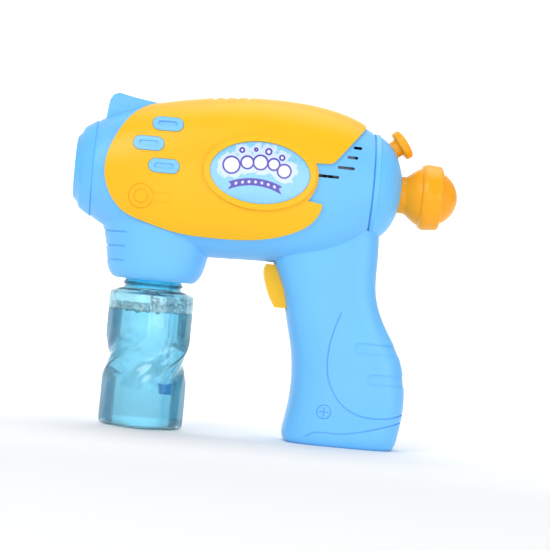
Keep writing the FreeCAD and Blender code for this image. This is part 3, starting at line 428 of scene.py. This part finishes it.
@dataclass(frozen=True)
class PlainMetal:
    """Bare metal with fine scratches and a faint stain."""

    name: str
    colour: Colour
    roughness: float = 0.28

    def build(self) -> bpy.types.Material:
        """Makes the material, or finds it if it's made already."""
        found = bpy.data.materials.get(self.name)
        if found:
            return found
        material, nodes, shader = start_material(self.name)
        where = nodes.add("TexCoord").outputs["Object"]
        stain = nodes.noise(where, 120.0, 4.0)
        scratch = nodes.noise(where, 2400.0, 2.0)
        duller = tuple(channel * 0.78 for channel in self.colour)
        nodes.link(nodes.mix(stain, self.colour, duller), shader.inputs["Base Color"])
        nodes.link(nodes.scaled(stain, 0.2, self.roughness - 0.08), shader.inputs["Roughness"])
        bump = nodes.add("Bump", Strength=0.12, Distance=0.0001)
        nodes.link(scratch, bump.inputs["Height"])
        nodes.link(bump.outputs["Normal"], shader.inputs["Normal"])
        shader.inputs["Metallic"].default_value = 1.0
        return material


@dataclass(frozen=True)
class CellWrap:
    """A cell's printed sleeve: dark body, gold shoulder and bare metal at both ends."""

    name: str
    lean: float = 6.0
    half_length: float = 0.0250
    gold_from: float = 0.52
    bare_from: float = 0.955

    def build(self) -> bpy.types.Material:
        """Makes the material, or finds it if it's made already."""
        found = bpy.data.materials.get(self.name)
        if found:
            return found
        material, nodes, shader = start_material(self.name)
        low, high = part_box("cell_1")
        along = nodes.add("VectorMath", operation="DOT_PRODUCT")
        turn = math.radians(self.lean)
        axis = Vector((-math.sin(turn), 0.0, math.cos(turn)))
        along.inputs[1].default_value = axis
        nodes.link(nodes.add("TexCoord").outputs["Object"], along.inputs[0])
        middle = ((low + high) / 2).dot(axis)
        place = nodes.math("SUBTRACT", along.outputs["Value"], middle)
        gold = nodes.math("GREATER_THAN", place, self.half_length * self.gold_from)
        bare = nodes.math("GREATER_THAN", nodes.math("ABSOLUTE", place), self.half_length * self.bare_from)
        body = nodes.mix(gold, (0.015, 0.07, 0.06), (0.62, 0.38, 0.10))
        nodes.link(nodes.mix(bare, body, (0.7, 0.7, 0.7)), shader.inputs["Base Color"])
        nodes.link(nodes.math("MAXIMUM", bare, nodes.math("MULTIPLY", gold, 0.6)), shader.inputs["Metallic"])
        shader.inputs["Roughness"].default_value = 0.25
        return material


@dataclass(frozen=True)
class CircuitBoard:
    """Green lacquer over copper tracks."""

    name: str

    def build(self) -> bpy.types.Material:
        """Makes the material, or finds it if it's made already."""
        found = bpy.data.materials.get(self.name)
        if found:
            return found
        material, nodes, shader = start_material(self.name)
        where = nodes.add("TexCoord").outputs["Object"]
        tracks = nodes.add("TexBrick", offset=0.37, Scale=260.0, Mortar_Size=0.09)
        for slot, colour in (("Color1", (0.02, 0.17, 0.05)), ("Color2", (0.02, 0.14, 0.04)),
                             ("Mortar", (0.10, 0.34, 0.09))):
            tracks.inputs[slot].default_value = (*colour, 1.0)
        nodes.link(where, tracks.inputs["Vector"])
        nodes.link(tracks.outputs["Color"], shader.inputs["Base Color"])
        nodes.link(nodes.scaled(nodes.noise(where, 300.0, 2.0), 0.2, 0.22), shader.inputs["Roughness"])
        return material


@dataclass(frozen=True)
class BadgePrint:
    """The printed oval: a row of bubbles with a spotted ribbon under them. Sizes are in millimetres."""

    name: str
    plate: Colour = (0.24, 0.60, 0.95)
    ink: Colour = (0.075, 0.03, 0.43)
    mist: Colour = (0.62, 0.74, 0.97)
    bubbles: tuple[tuple[float, float, float], ...] = (
        (-12.6, 2.2, 3.6), (-5.9, 3.9, 2.7), (-0.2, 4.4, 3.1), (5.6, 4.1, 2.5), (10.3, 1.6, 2.9),
        (-8.6, 9.0, 0.9), (2.9, 9.4, 1.2), (-2.6, 9.8, 0.6), (8.9, 7.3, 1.0))
    line: float = 0.95
    ribbon_radius: float = 27.0
    ribbon_middle: tuple[float, float] = (-1.6, -31.2)
    ribbon_half: float = 10.6
    ribbon_width: float = 3.3

    def build(self) -> bpy.types.Material:
        """Makes the material, or finds it if it's made already."""
        found = bpy.data.materials.get(self.name)
        if found:
            return found
        material, nodes, shader = start_material(self.name)
        where = nodes.add("TexCoord").outputs["Object"]
        flat = self.flattened(nodes, where)
        cloud = nodes.noise(where, 420.0, 2.0)
        shell, ring = self.bubble_fields(nodes, flat)
        wobble = nodes.scaled(cloud, 5.0, -1.1)
        mist = nodes.soft_below(shell, nodes.math("ADD", wobble, 1.0), 0.5)
        inside = nodes.soft_below(shell, 0.0, 0.3)
        colour = nodes.mix(mist, self.plate, self.mist)
        colour = nodes.mix(inside, colour, (0.80, 0.86, 1.0))
        colour = nodes.mix(nodes.soft_below(ring, self.line / 2, 0.15), colour, self.ink)
        ribbon, spots = self.ribbon_fields(nodes, flat)
        colour = nodes.mix(ribbon, colour, self.ink)
        colour = nodes.mix(nodes.math("MULTIPLY", ribbon, spots), colour, self.mist)
        nodes.link(colour, shader.inputs["Base Color"])
        nodes.link(nodes.scaled(cloud, 0.12, 0.22), shader.inputs["Roughness"])
        shader.inputs["Coat Weight"].default_value = 0.4
        shader.inputs["Coat Roughness"].default_value = 0.1
        return material

    def flattened(self, nodes: Nodes, where: bpy.types.NodeSocket) -> bpy.types.NodeSocket:
        """Turns Object coordinates into millimetres from the badge's middle, seen from its side.

        Args:
            nodes: The material's node helper.
            where: The Object coordinates.

        Returns:
            A vector socket with x along the badge, y up it and no depth.
        """
        low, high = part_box("left_badge")
        middle = (low + high) / 2
        split = nodes.add("SeparateXYZ")
        nodes.link(where, split.inputs[0])
        joined = nodes.add("CombineXYZ")
        for source, centre, target in (("X", middle.x, "X"), ("Z", middle.z, "Y")):
            nodes.link(nodes.scaled(split.outputs[source], 1 / MM, -centre / MM), joined.inputs[target])
        return joined.outputs[0]

    def bubble_fields(self, nodes: Nodes, flat: bpy.types.NodeSocket) -> tuple[bpy.types.NodeSocket,
                                                                              bpy.types.NodeSocket]:
        """Measures how far each point is from the bubbles.

        Args:
            nodes: The material's node helper.
            flat: The badge's own coordinates.

        Returns:
            The distance outside the nearest bubble, and the distance from the nearest outline.
        """
        shell, ring = None, None
        for x, y, radius in self.bubbles:
            out = nodes.math("SUBTRACT", nodes.distance(flat, (x, y, 0.0)), radius)
            edge = nodes.math("ABSOLUTE", out)
            shell = out if shell is None else nodes.math("MINIMUM", shell, out)
            ring = edge if ring is None else nodes.math("MINIMUM", ring, edge)
        return shell, ring

    def ribbon_fields(self, nodes: Nodes, flat: bpy.types.NodeSocket) -> tuple[bpy.types.NodeSocket,
                                                                              bpy.types.NodeSocket]:
        """Makes the arched ribbon's mask and the spots along it.

        Args:
            nodes: The material's node helper.
            flat: The badge's own coordinates.

        Returns:
            The ribbon's mask and the spots' mask.
        """
        across = nodes.math("ABSOLUTE", nodes.math("SUBTRACT",
                                                   nodes.distance(flat, (*self.ribbon_middle, 0.0)),
                                                   self.ribbon_radius))
        split = nodes.add("SeparateXYZ")
        nodes.link(flat, split.inputs[0])
        along = nodes.math("SUBTRACT", split.outputs["X"], self.ribbon_middle[0])
        ends = nodes.math("ADD", nodes.math("ABSOLUTE", along), nodes.math("MULTIPLY", across, -0.7))
        band = nodes.math("MULTIPLY", nodes.soft_below(across, self.ribbon_width / 2, 0.15),
                          nodes.soft_below(ends, self.ribbon_half, 0.15))
        step = nodes.math("ABSOLUTE", nodes.math("SUBTRACT", nodes.math("FRACT", nodes.scaled(
            along, 0.36, 20.5)), 0.5))
        spot = nodes.math("ADD", nodes.math("POWER", nodes.math("MULTIPLY", step, 2.8), 2.0),
                          nodes.math("POWER", across, 2.0))
        return band, nodes.soft_below(spot, 0.5, 0.2)


CASE_BLUE = MouldedPlastic("case_blue_plastic", (0.155, 0.53, 0.97), roughness=0.4, seam=True)
COVER_BLUE = MouldedPlastic("cover_blue_plastic", (0.14, 0.535, 0.97), roughness=0.42)
PANEL_YELLOW = MouldedPlastic("panel_yellow_plastic", (0.93, 0.50, 0.004), roughness=0.36, shine=0.4,
                              seam=True)
RIM_YELLOW = MouldedPlastic("rim_yellow_plastic", (0.94, 0.51, 0.005), roughness=0.34, shine=0.4)
INLAY_BLUE = MouldedPlastic("inlay_blue_plastic", (0.20, 0.56, 0.95), roughness=0.38)
KNOB_ORANGE = MouldedPlastic("knob_orange_plastic", (1.0, 0.395, 0.003), roughness=0.30, depth=0.03,
                             shine=0.4)
INNER_WHITE = MouldedPlastic("inner_white_plastic", (0.80, 0.82, 0.84), roughness=0.5)
GEAR_WHITE = MouldedPlastic("gear_white_plastic", (0.86, 0.86, 0.83), roughness=0.45)
BLACK_PLASTIC = MouldedPlastic("black_plastic", (0.02, 0.02, 0.022), roughness=0.5)
SEAL_RUBBER = MouldedPlastic("seal_rubber_soft", (0.72, 0.72, 0.70), roughness=0.7)
FILTER_BLUE = MouldedPlastic("filter_blue", (0.02, 0.30, 0.75), roughness=0.3)
BADGE_PRINT = BadgePrint("badge_print")
STEEL = PlainMetal("bare_steel", (0.66, 0.66, 0.68))
TUBE_CLEAR = ClearPlastic("clear_tube_plastic", (0.90, 0.97, 1.0), roughness=0.12, index=1.4, alpha=0.55)
LAMP_CLEAR = ClearPlastic("clear_lamp_plastic", (0.97, 0.97, 0.97), roughness=0.05)
BOTTLE_PLASTIC = ClearPlastic("bottle_plastic", (0.46, 0.78, 0.88), ripple=0.15, alpha=0.85)
NECK_PLASTIC = ClearPlastic("neck_plastic", (0.005, 0.64, 1.0), roughness=0.1, alpha=0.8)
BUBBLE_LIQUID = ClearPlastic("bubble_liquid", (0.44, 0.72, 0.83), roughness=0.0, index=1.33)
FROTH = FrothFilm("froth", (0.80, 0.98, 1.0), alpha=0.85)


class SlotFinish(Enum):
    """The finish that each of the record's material slots takes."""

    case_blue = CASE_BLUE
    panel_yellow = PANEL_YELLOW
    badge_blue = BADGE_PRINT
    inlay_blue = INLAY_BLUE
    knob_orange = KNOB_ORANGE
    bottle_clear = BOTTLE_PLASTIC
    seal_rubber = SEAL_RUBBER
    inner_white = INNER_WHITE
    gear_white = GEAR_WHITE
    tube_clear = TUBE_CLEAR
    steel = STEEL
    cell_wrap = CellWrap("printed_cell_wrap")
    board_green = CircuitBoard("green_board_lacquer")
    lamp_clear = LAMP_CLEAR
    speaker_black = BLACK_PLASTIC


@dataclass
class Mouldings:
    """The frame's own nodes and the finish that each one wears."""

    special: dict[str, Finish] = field(default_factory=lambda: {
        "left_badge_rim": RIM_YELLOW, "right_badge_rim": RIM_YELLOW, "battery_cover": COVER_BLUE,
        "battery_box": COVER_BLUE, "rear_cap": COVER_BLUE, "nozzle_shroud": COVER_BLUE,
        "trigger": RIM_YELLOW, "tube_filter": FILTER_BLUE})

    def build(self) -> None:
        """Dresses every node by its slot, unless it has a finish of its own."""
        for row in frame["record"]["subparts"]:
            node = row["node"]
            finish = self.special.get(node, SlotFinish[row["material_slot"]].value)
            self.dress(node, finish)
            log.info("%s: %s", node, finish.name)

    def dress(self, node: str, finish: Finish) -> None:
        """Gives one node its finish."""
        for slot in frame["nodes"][node].material_slots:
            slot.material = finish.build()


# ---------------------------------------------------------------- the bottle and what is in it

@dataclass
class Bottle:
    """The twisted square bottle, its thread, the liquid and the foam. Sizes are in millimetres."""

    side: float = 32.4
    corner: float = 9.4
    crease: float = 0.8
    wall: float = 1.2
    twist_from: float = 17.0
    twist_to: float = 43.0
    neck_from: float = 61.4
    liquid_top: float = 52.2
    foam_top: float = 59.4
    bubbles: int = 560
    bubble_sizes: tuple[float, ...] = (0.4, 0.5, 0.65, 0.85, 1.2)
    long_edge: float = 4.0
    twist_step: float = 1.3
    straight_to: float = 57.0
    rounding: tuple[tuple[float, float], ...] = ((58.2, 0.995), (59.3, 0.975), (59.9, 0.93))
    shoulder: tuple[tuple[float, float, float], ...] = (
        (60.4, 16.2, 0.6), (60.9, 14.8, 1.0), (61.2, 13.5, 1.0), (61.6, 12.7, 1.0), (62.2, 12.4, 1.0),
        (62.6, 12.4, 1.0), (62.9, 13.4, 1.0), (63.7, 13.4, 1.0), (64.0, 12.4, 1.0), (67.0, 12.4, 1.0),
        (70.8, 12.4, 1.0), (71.3, 12.2, 1.0), (71.6, 11.9, 1.0))
    foot_rim: float = 2.0
    foot_slope: float = 1.2
    foot_rise: float = 0.9
    foot_middle: float = 3.0
    foot_dome: float = 0.5
    thread_wire: float = 0.8
    thread_radius: float = 12.5
    thread_from: float = 66.0
    thread_pitch: float = 4.0
    thread_turns: float = 1.1
    overlap: float = 0.12
    meniscus: float = 1.0
    meniscus_drop: float = 0.5

    def __post_init__(self) -> None:
        """Takes the bottle's axis from the frame."""
        low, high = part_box("bottle")
        self.axis = Vector(((low.x + high.x) / 2, (low.y + high.y) / 2, 0.0))

    def turn_at(self, height: float) -> float:
        """How far the square is turned at a height, in radians."""
        t = min(max((height - self.twist_from) / (self.twist_to - self.twist_from), 0.0), 1.0)
        return math.radians(-45 + 90 * t * t * (3 - 2 * t))

    def square(self, name: str, inset: float, height: float) -> bpy.types.Object:
        """Starts the form with a square of two flats a corner, left in edit mode with all selected.

        Args:
            name: The new object's name.
            inset: How far the square stands inside the bottle's outside.
            height: The foot's height.

        Returns:
            The object.
        """
        deselect_all()
        side = (self.side - 2 * inset) * MM
        bpy.ops.mesh.primitive_plane_add(size=side, location=(self.axis.x, self.axis.y, height * MM))
        piece = settle(bpy.context.object)
        piece.name = name
        bpy.ops.object.mode_set(mode="EDIT")
        bpy.ops.mesh.select_all(action="SELECT")
        bpy.ops.mesh.bevel(offset=(self.corner - inset) * MM, segments=2, affect="VERTICES")
        bpy.ops.mesh.select_all(action="SELECT")
        bpy.ops.mesh.bevel(offset=self.crease * MM, segments=1, affect="VERTICES")
        bpy.ops.mesh.select_mode(type="EDGE")
        bpy.ops.mesh.select_all(action="DESELECT")
        bpy.ops.object.mode_set(mode="OBJECT")
        for edge in piece.data.edges:
            ends = [piece.data.vertices[i].co for i in edge.vertices]
            edge.select = (ends[0] - ends[1]).length > self.long_edge * MM
        bpy.ops.object.mode_set(mode="EDIT")
        bpy.ops.mesh.subdivide(number_cuts=4)
        bpy.ops.mesh.select_mode(type="FACE")
        bpy.ops.mesh.select_all(action="SELECT")
        return piece

    def spin_to(self, angle: float) -> None:
        """Turns what is selected about the bottle's axis, counter-clockwise from above."""
        bpy.ops.transform.rotate(value=-angle, orient_axis="Z", center_override=self.axis)

    def widen(self, factor: float, height: float) -> None:
        """Scales what is selected about the bottle's axis, level."""
        centre = (self.axis.x, self.axis.y, height * MM)
        bpy.ops.transform.resize(value=(factor, factor, 1.0), center_override=centre)

    def reach(self, piece: bpy.types.Object) -> float:
        """The selected ring's largest radius, in millimetres."""
        piece.update_from_editmode()
        spots = [v.co for v in piece.data.vertices if v.select]
        return max(math.hypot(p.x - self.axis.x, p.y - self.axis.y) for p in spots) / MM

    def rise(self, piece: bpy.types.Object, stations: Iterable[tuple[float, float]]) -> None:
        """Extrudes the selected face up through the stations, turning it with the twist.

        Args:
            piece: The object in edit mode.
            stations: Height, and size against the full square.
        """
        height, size = None, 1.0
        for level, wanted in stations:
            if height is None:
                self.spin_to(self.turn_at(level))
            else:
                self.lift(level - height)
                self.spin_to(self.turn_at(level) - self.turn_at(height))
            self.widen(wanted / size, level)
            height, size = level, wanted

    def lift(self, height: float) -> None:
        """Extrudes what is selected straight up."""
        bpy.ops.mesh.extrude_region_move(TRANSFORM_OT_translate={"value": (0, 0, height * MM)})

    def levels(self, top: float, inset: float) -> list[tuple[float, float]]:
        """The stations from the foot up to a height inside the body, as height and size."""
        foot = [(inset, 0.90), (0.5 + inset, 0.955), (1.5 + inset, 0.992), (3.0 + inset, 1.0), (8.0, 1.0),
                (14.0, 1.0)]
        steps = [(self.twist_from + self.twist_step * i, 1.0) for i in range(21)]
        upper = [(46.0, 1.0), (50.0, 1.0), (53.0, 1.0), (56.0, 1.0)]
        return [station for station in foot + steps + upper if station[0] <= top]

    def build(self) -> None:
        """Makes the bottle, the thread, the liquid and the foam."""
        shell = self.shell()
        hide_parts("bottle")
        for piece in (shell, self.thread(), self.liquid(), self.foam()):
            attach(piece, "bottle_body")
            log.info("%s: %d faces", piece.name, len(piece.data.polygons))

    def shell(self) -> bpy.types.Object:
        """The blown bottle with its neck, as one walled piece."""
        piece = self.square("bottle_shell", 0.0, 0.0)
        self.rise(piece, self.levels(self.straight_to, 0.0) + list(self.rounding))
        height = self.rounding[-1][0]
        for level, radius, roundness in self.shoulder:
            self.lift(level - height)
            bpy.ops.transform.tosphere(value=roundness)
            self.widen(radius / self.reach(piece), level)
            height = level
        bpy.ops.mesh.delete(type="FACE")
        bpy.ops.object.mode_set(mode="OBJECT")
        self.hollow_foot(piece)
        apply_modifier(piece, "SOLIDIFY", thickness=self.wall * MM, offset=-1.0, use_even_offset=True)
        apply_modifier(piece, "SUBSURF", levels=1, render_levels=1)
        take(piece)
        bpy.ops.object.shade_smooth()
        piece.data.materials.append(BOTTLE_PLASTIC.build())
        piece.data.materials.append(NECK_PLASTIC.build())
        for face in piece.data.polygons:
            face.material_index = int(face.center.z > self.neck_from * MM)
        return piece

    def hollow_foot(self, piece: bpy.types.Object) -> None:
        """Pushes the middle of the base up into a shallow dome, so that the bottle stands on a rim."""
        deselect_all()
        take(piece)
        for part in (piece.data.vertices, piece.data.edges, piece.data.polygons):
            part.foreach_set("select", [False] * len(part))
        for face in piece.data.polygons:
            face.select = face.normal.z < -0.9 and abs(face.center.z) < 0.1 * MM
        bpy.ops.object.mode_set(mode="EDIT")
        bpy.ops.mesh.select_mode(type="FACE")
        bpy.ops.mesh.inset(thickness=self.foot_rim * MM)
        bpy.ops.mesh.inset(thickness=self.foot_slope * MM)
        bpy.ops.transform.translate(value=(0, 0, self.foot_rise * MM))
        bpy.ops.mesh.inset(thickness=self.foot_middle * MM)
        bpy.ops.transform.translate(value=(0, 0, self.foot_dome * MM))
        bpy.ops.object.mode_set(mode="OBJECT")

    def thread(self) -> bpy.types.Object:
        """The raised thread round the neck: a small profile screwed up it."""
        deselect_all()
        bpy.ops.mesh.primitive_circle_add(vertices=8, radius=self.thread_wire * MM,
                                          rotation=(math.pi / 2, 0, 0),
                                          location=(self.thread_radius * MM, 0, self.thread_from * MM))
        ridge = settle(bpy.context.object)
        ridge.name = "bottle_thread"
        wind(ridge, self.thread_turns, self.thread_turns * self.thread_pitch * MM, fineness=60)
        ridge.location = self.axis
        settle(ridge)
        smooth(ridge, 50)
        ridge.data.materials.append(NECK_PLASTIC.build())
        return ridge

    def liquid(self) -> bpy.types.Object:
        """The liquid, a little into the wall all round, with a level top."""
        inset = self.wall - self.overlap
        piece = self.square("bubble_liquid", inset, inset)
        self.rise(piece, self.levels(self.liquid_top - 1.0, inset) + [(self.liquid_top, 1.0)])
        bpy.ops.mesh.inset(thickness=self.meniscus * MM)
        bpy.ops.transform.translate(value=(0, 0, -self.meniscus_drop * MM))
        bpy.ops.mesh.inset(thickness=2.5 * MM)
        bpy.ops.object.mode_set(mode="OBJECT")
        apply_modifier(piece, "SUBSURF", levels=1, render_levels=1)
        take(piece)
        bpy.ops.object.shade_smooth()
        piece.data.materials.append(BUBBLE_LIQUID.build())
        return piece

    def foam(self) -> bpy.types.Object:
        """A froth of small bubbles on the liquid, thickest against the wall."""
        deselect_all()
        bpy.ops.mesh.primitive_uv_sphere_add(segments=8, ring_count=5, radius=MM, location=(0, 0, 0))
        pattern = bpy.context.object
        bpy.ops.object.shade_smooth()
        pattern.data.materials.append(FROTH.build())
        deselect_all()
        chance = random.Random(7)
        for number in range(self.bubbles):
            radius = chance.choice(self.bubble_sizes)
            copy = bpy.data.objects.new("bubble", pattern.data.copy())
            copy.data.transform(Matrix.Translation(self.froth_place(chance, number, radius))
                                @ Matrix.Scale(radius, 4))
            bpy.context.scene.collection.objects.link(copy)
            copy.select_set(True)
            bpy.context.view_layer.objects.active = copy
        bpy.ops.object.join()
        froth = bpy.context.object
        froth.name = "foam"
        bpy.data.objects.remove(pattern)
        return froth

    def froth_place(self, chance: random.Random, number: int, radius: float) -> Vector:
        """Where a bubble sits.

        Args:
            chance: The source of random numbers.
            number: The bubble's number; every fourth floats away from the wall, and most heap at the back.
            radius: The bubble's radius.

        Returns:
            Its middle, in metres.
        """
        half = self.side / 2 - self.wall
        angle = chance.uniform(0, 2 * math.pi)
        edge = min(half / max(abs(math.cos(angle)), abs(math.sin(angle))), half * 1.17)
        depth = abs(chance.gauss(0, 2.2)) if number % 4 else chance.uniform(0, edge)
        out = max(edge - depth - radius - 0.15, 0.0)
        turned = angle + self.turn_at(self.liquid_top)
        heap = 0.35 + 0.65 * max(math.cos(turned), 0.0)
        height = self.liquid_top - 0.6 + (self.foam_top - self.liquid_top) * heap * chance.random() ** 2
        flat = Vector((math.cos(turned), math.sin(turned), 0.0)) * out * MM
        return self.axis + flat + Vector((0.0, 0.0, height * MM))


# ---------------------------------------------------------------- the two coil springs

@dataclass
class CoilSpring:
    """A steel coil spring in the case. Sizes are in millimetres."""

    node: str
    joint: str
    axis: Vector
    radius: float
    pitch: float
    turns: float
    travel: float
    wire: float = 0.3

    def build(self) -> None:
        """Winds the spring and turns it to its axis."""
        deselect_all()
        bpy.ops.mesh.primitive_circle_add(vertices=8, radius=self.wire * MM, rotation=(math.pi / 2, 0, 0),
                                          location=(self.radius * MM, 0, 0))
        spring = settle(bpy.context.object)
        spring.name = self.node + "_wire"
        length = self.pitch * self.turns
        wind(spring, self.turns, length * MM, fineness=16)
        low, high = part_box(self.node)
        anchor = (low + high) / 2 - self.axis * (length / 2 + self.wire) * MM
        spring.matrix_world = (Matrix.Translation(anchor + self.axis * self.wire * MM)
                               @ self.axis.to_track_quat("Z", "Y").to_matrix().to_4x4())
        settle(spring)
        smooth(spring, 50)
        spring.data.materials.append(STEEL.build())
        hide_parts(self.node)
        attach(spring, "housing")
        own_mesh(spring)
        log.info("%s: %d faces", spring.name, len(spring.data.polygons))


TRIGGER_SPRING = CoilSpring("trigger_spring", "trigger_pull", Vector((-1.0, 0.0, 0.0)), radius=2.1,
                            pitch=1.45, turns=8.0, travel=5.5)
BUTTON_SPRING = CoilSpring("button_spring", "button_press", Vector((0.8, 0.0, 0.6)), radius=3.2,
                           pitch=1.1, turns=3.2, travel=1.8)


# ---------------------------------------------------------------- the studio

@dataclass
class Studio:
    """Plain floor and backdrop, soft lights and the camera."""

    look_at: Vector = field(default_factory=lambda: Vector((0.0074, 0.0, 0.0727)))
    azimuth: float = -2.5
    roll: float = 5.5
    distance: float = 1.0
    view_width: float = 0.2444
    sensor: float = 36.0
    floor_side: float = 6.0
    wall_line: float = 2.9
    wall_height: float = 4.0
    bend: float = 1.6

    def build(self) -> None:
        """Makes the whole studio."""
        self.backdrop()
        self.lights()
        self.camera()

    def backdrop(self) -> None:
        """A floor that sweeps up into a wall behind the toy."""
        deselect_all()
        bpy.ops.mesh.primitive_plane_add(size=self.floor_side, location=(0, 0, 0))
        sweep = settle(bpy.context.object)
        sweep.name = "studio_floor"
        bpy.ops.object.mode_set(mode="EDIT")
        bpy.ops.mesh.select_mode(type="EDGE")
        bpy.ops.mesh.select_all(action="DESELECT")
        bpy.ops.object.mode_set(mode="OBJECT")
        for edge in sweep.data.edges:
            edge.select = all(sweep.data.vertices[i].co.y > self.wall_line for i in edge.vertices)
        bpy.ops.object.mode_set(mode="EDIT")
        bpy.ops.mesh.extrude_region_move(TRANSFORM_OT_translate={"value": (0, 0, self.wall_height)})
        bpy.ops.object.mode_set(mode="OBJECT")
        for edge in sweep.data.edges:
            ends = [sweep.data.vertices[i].co for i in edge.vertices]
            edge.select = all(end.y > self.wall_line and abs(end.z) < 0.01 for end in ends)
        bpy.ops.object.mode_set(mode="EDIT")
        bpy.ops.mesh.bevel(offset=self.bend, segments=24, affect="EDGES")
        bpy.ops.object.mode_set(mode="OBJECT")
        smooth(sweep, 60)
        paper = bpy.data.materials.new("studio_paper")
        paper.use_nodes = True
        shader = paper.node_tree.nodes["Principled BSDF"]
        shader.inputs["Base Color"].default_value = (0.93, 0.93, 0.93, 1.0)
        shader.inputs["Roughness"].default_value = 0.9
        sweep.data.materials.append(paper)

    def lights(self) -> None:
        """A big key from the upper left, two fills, a top light and a wash for the backdrop."""
        self.area("key", (-0.75, -1.15, 0.95), 0.9, 10.4)
        self.area("fill", (1.1, -1.0, 0.35), 0.9, 6.0)
        self.area("low", (0.1, -1.5, 0.12), 0.6, 3.0)
        self.area("top", (0.1, 0.15, 1.3), 0.9, 5.0)
        self.area("wash", (0.0, 0.9, 1.7), 2.0, 55.0, aim=Vector((0.0, 2.6, 0.6)))
        world = bpy.data.worlds.new("studio_air")
        world.use_nodes = True
        world.node_tree.nodes["Background"].inputs["Color"].default_value = (0.93, 0.96, 1.0, 1.0)
        world.node_tree.nodes["Background"].inputs["Strength"].default_value = 0.42
        bpy.context.scene.world = world

    def area(self, name: str, place: Sequence[float], size: float, watts: float,
             aim: Vector = TOY_MIDDLE) -> None:
        """Adds one soft square light.

        Args:
            name: The light's name.
            place: Where it hangs.
            size: Its side in metres.
            watts: Its power.
            aim: The point it faces.
        """
        lamp = bpy.data.lights.new(name, "AREA")
        lamp.size = size
        lamp.energy = watts
        obj = bpy.data.objects.new(name, lamp)
        obj.location = place
        obj.rotation_euler = (aim - Vector(place)).to_track_quat("-Z", "Y").to_euler()
        bpy.context.scene.collection.objects.link(obj)

    def camera(self) -> None:
        """Sets the camera level with the toy's middle, a little towards the muzzle, and rolled."""
        turn = math.radians(self.azimuth)
        away = Vector((math.sin(turn), -math.cos(turn), 0.0))
        data = bpy.data.cameras.new("camera")
        data.sensor_width = self.sensor
        data.lens = self.sensor * self.distance / self.view_width
        data.clip_start = 0.01
        obj = bpy.data.objects.new("camera", data)
        facing = (-away).to_track_quat("-Z", "Y").to_matrix().to_4x4()
        obj.matrix_world = (Matrix.Translation(self.look_at + away * self.distance) @ facing
                            @ Matrix.Rotation(math.radians(self.roll), 4, "Z"))
        bpy.context.scene.collection.objects.link(obj)
        bpy.context.scene.camera = obj
        bpy.context.scene.view_settings.view_transform = "Standard"


# ---------------------------------------------------------------- all together

def main() -> None:
    """Builds the studio, dresses the frame and adds the bottle and springs."""
    logging.basicConfig(level=logging.INFO, format="%(name)s %(message)s")
    Studio().build()
    Mouldings().build()
    Bottle().build()
    for spring in (TRIGGER_SPRING, BUTTON_SPRING):
        spring.build()


if __name__ == "__main__":
    main()
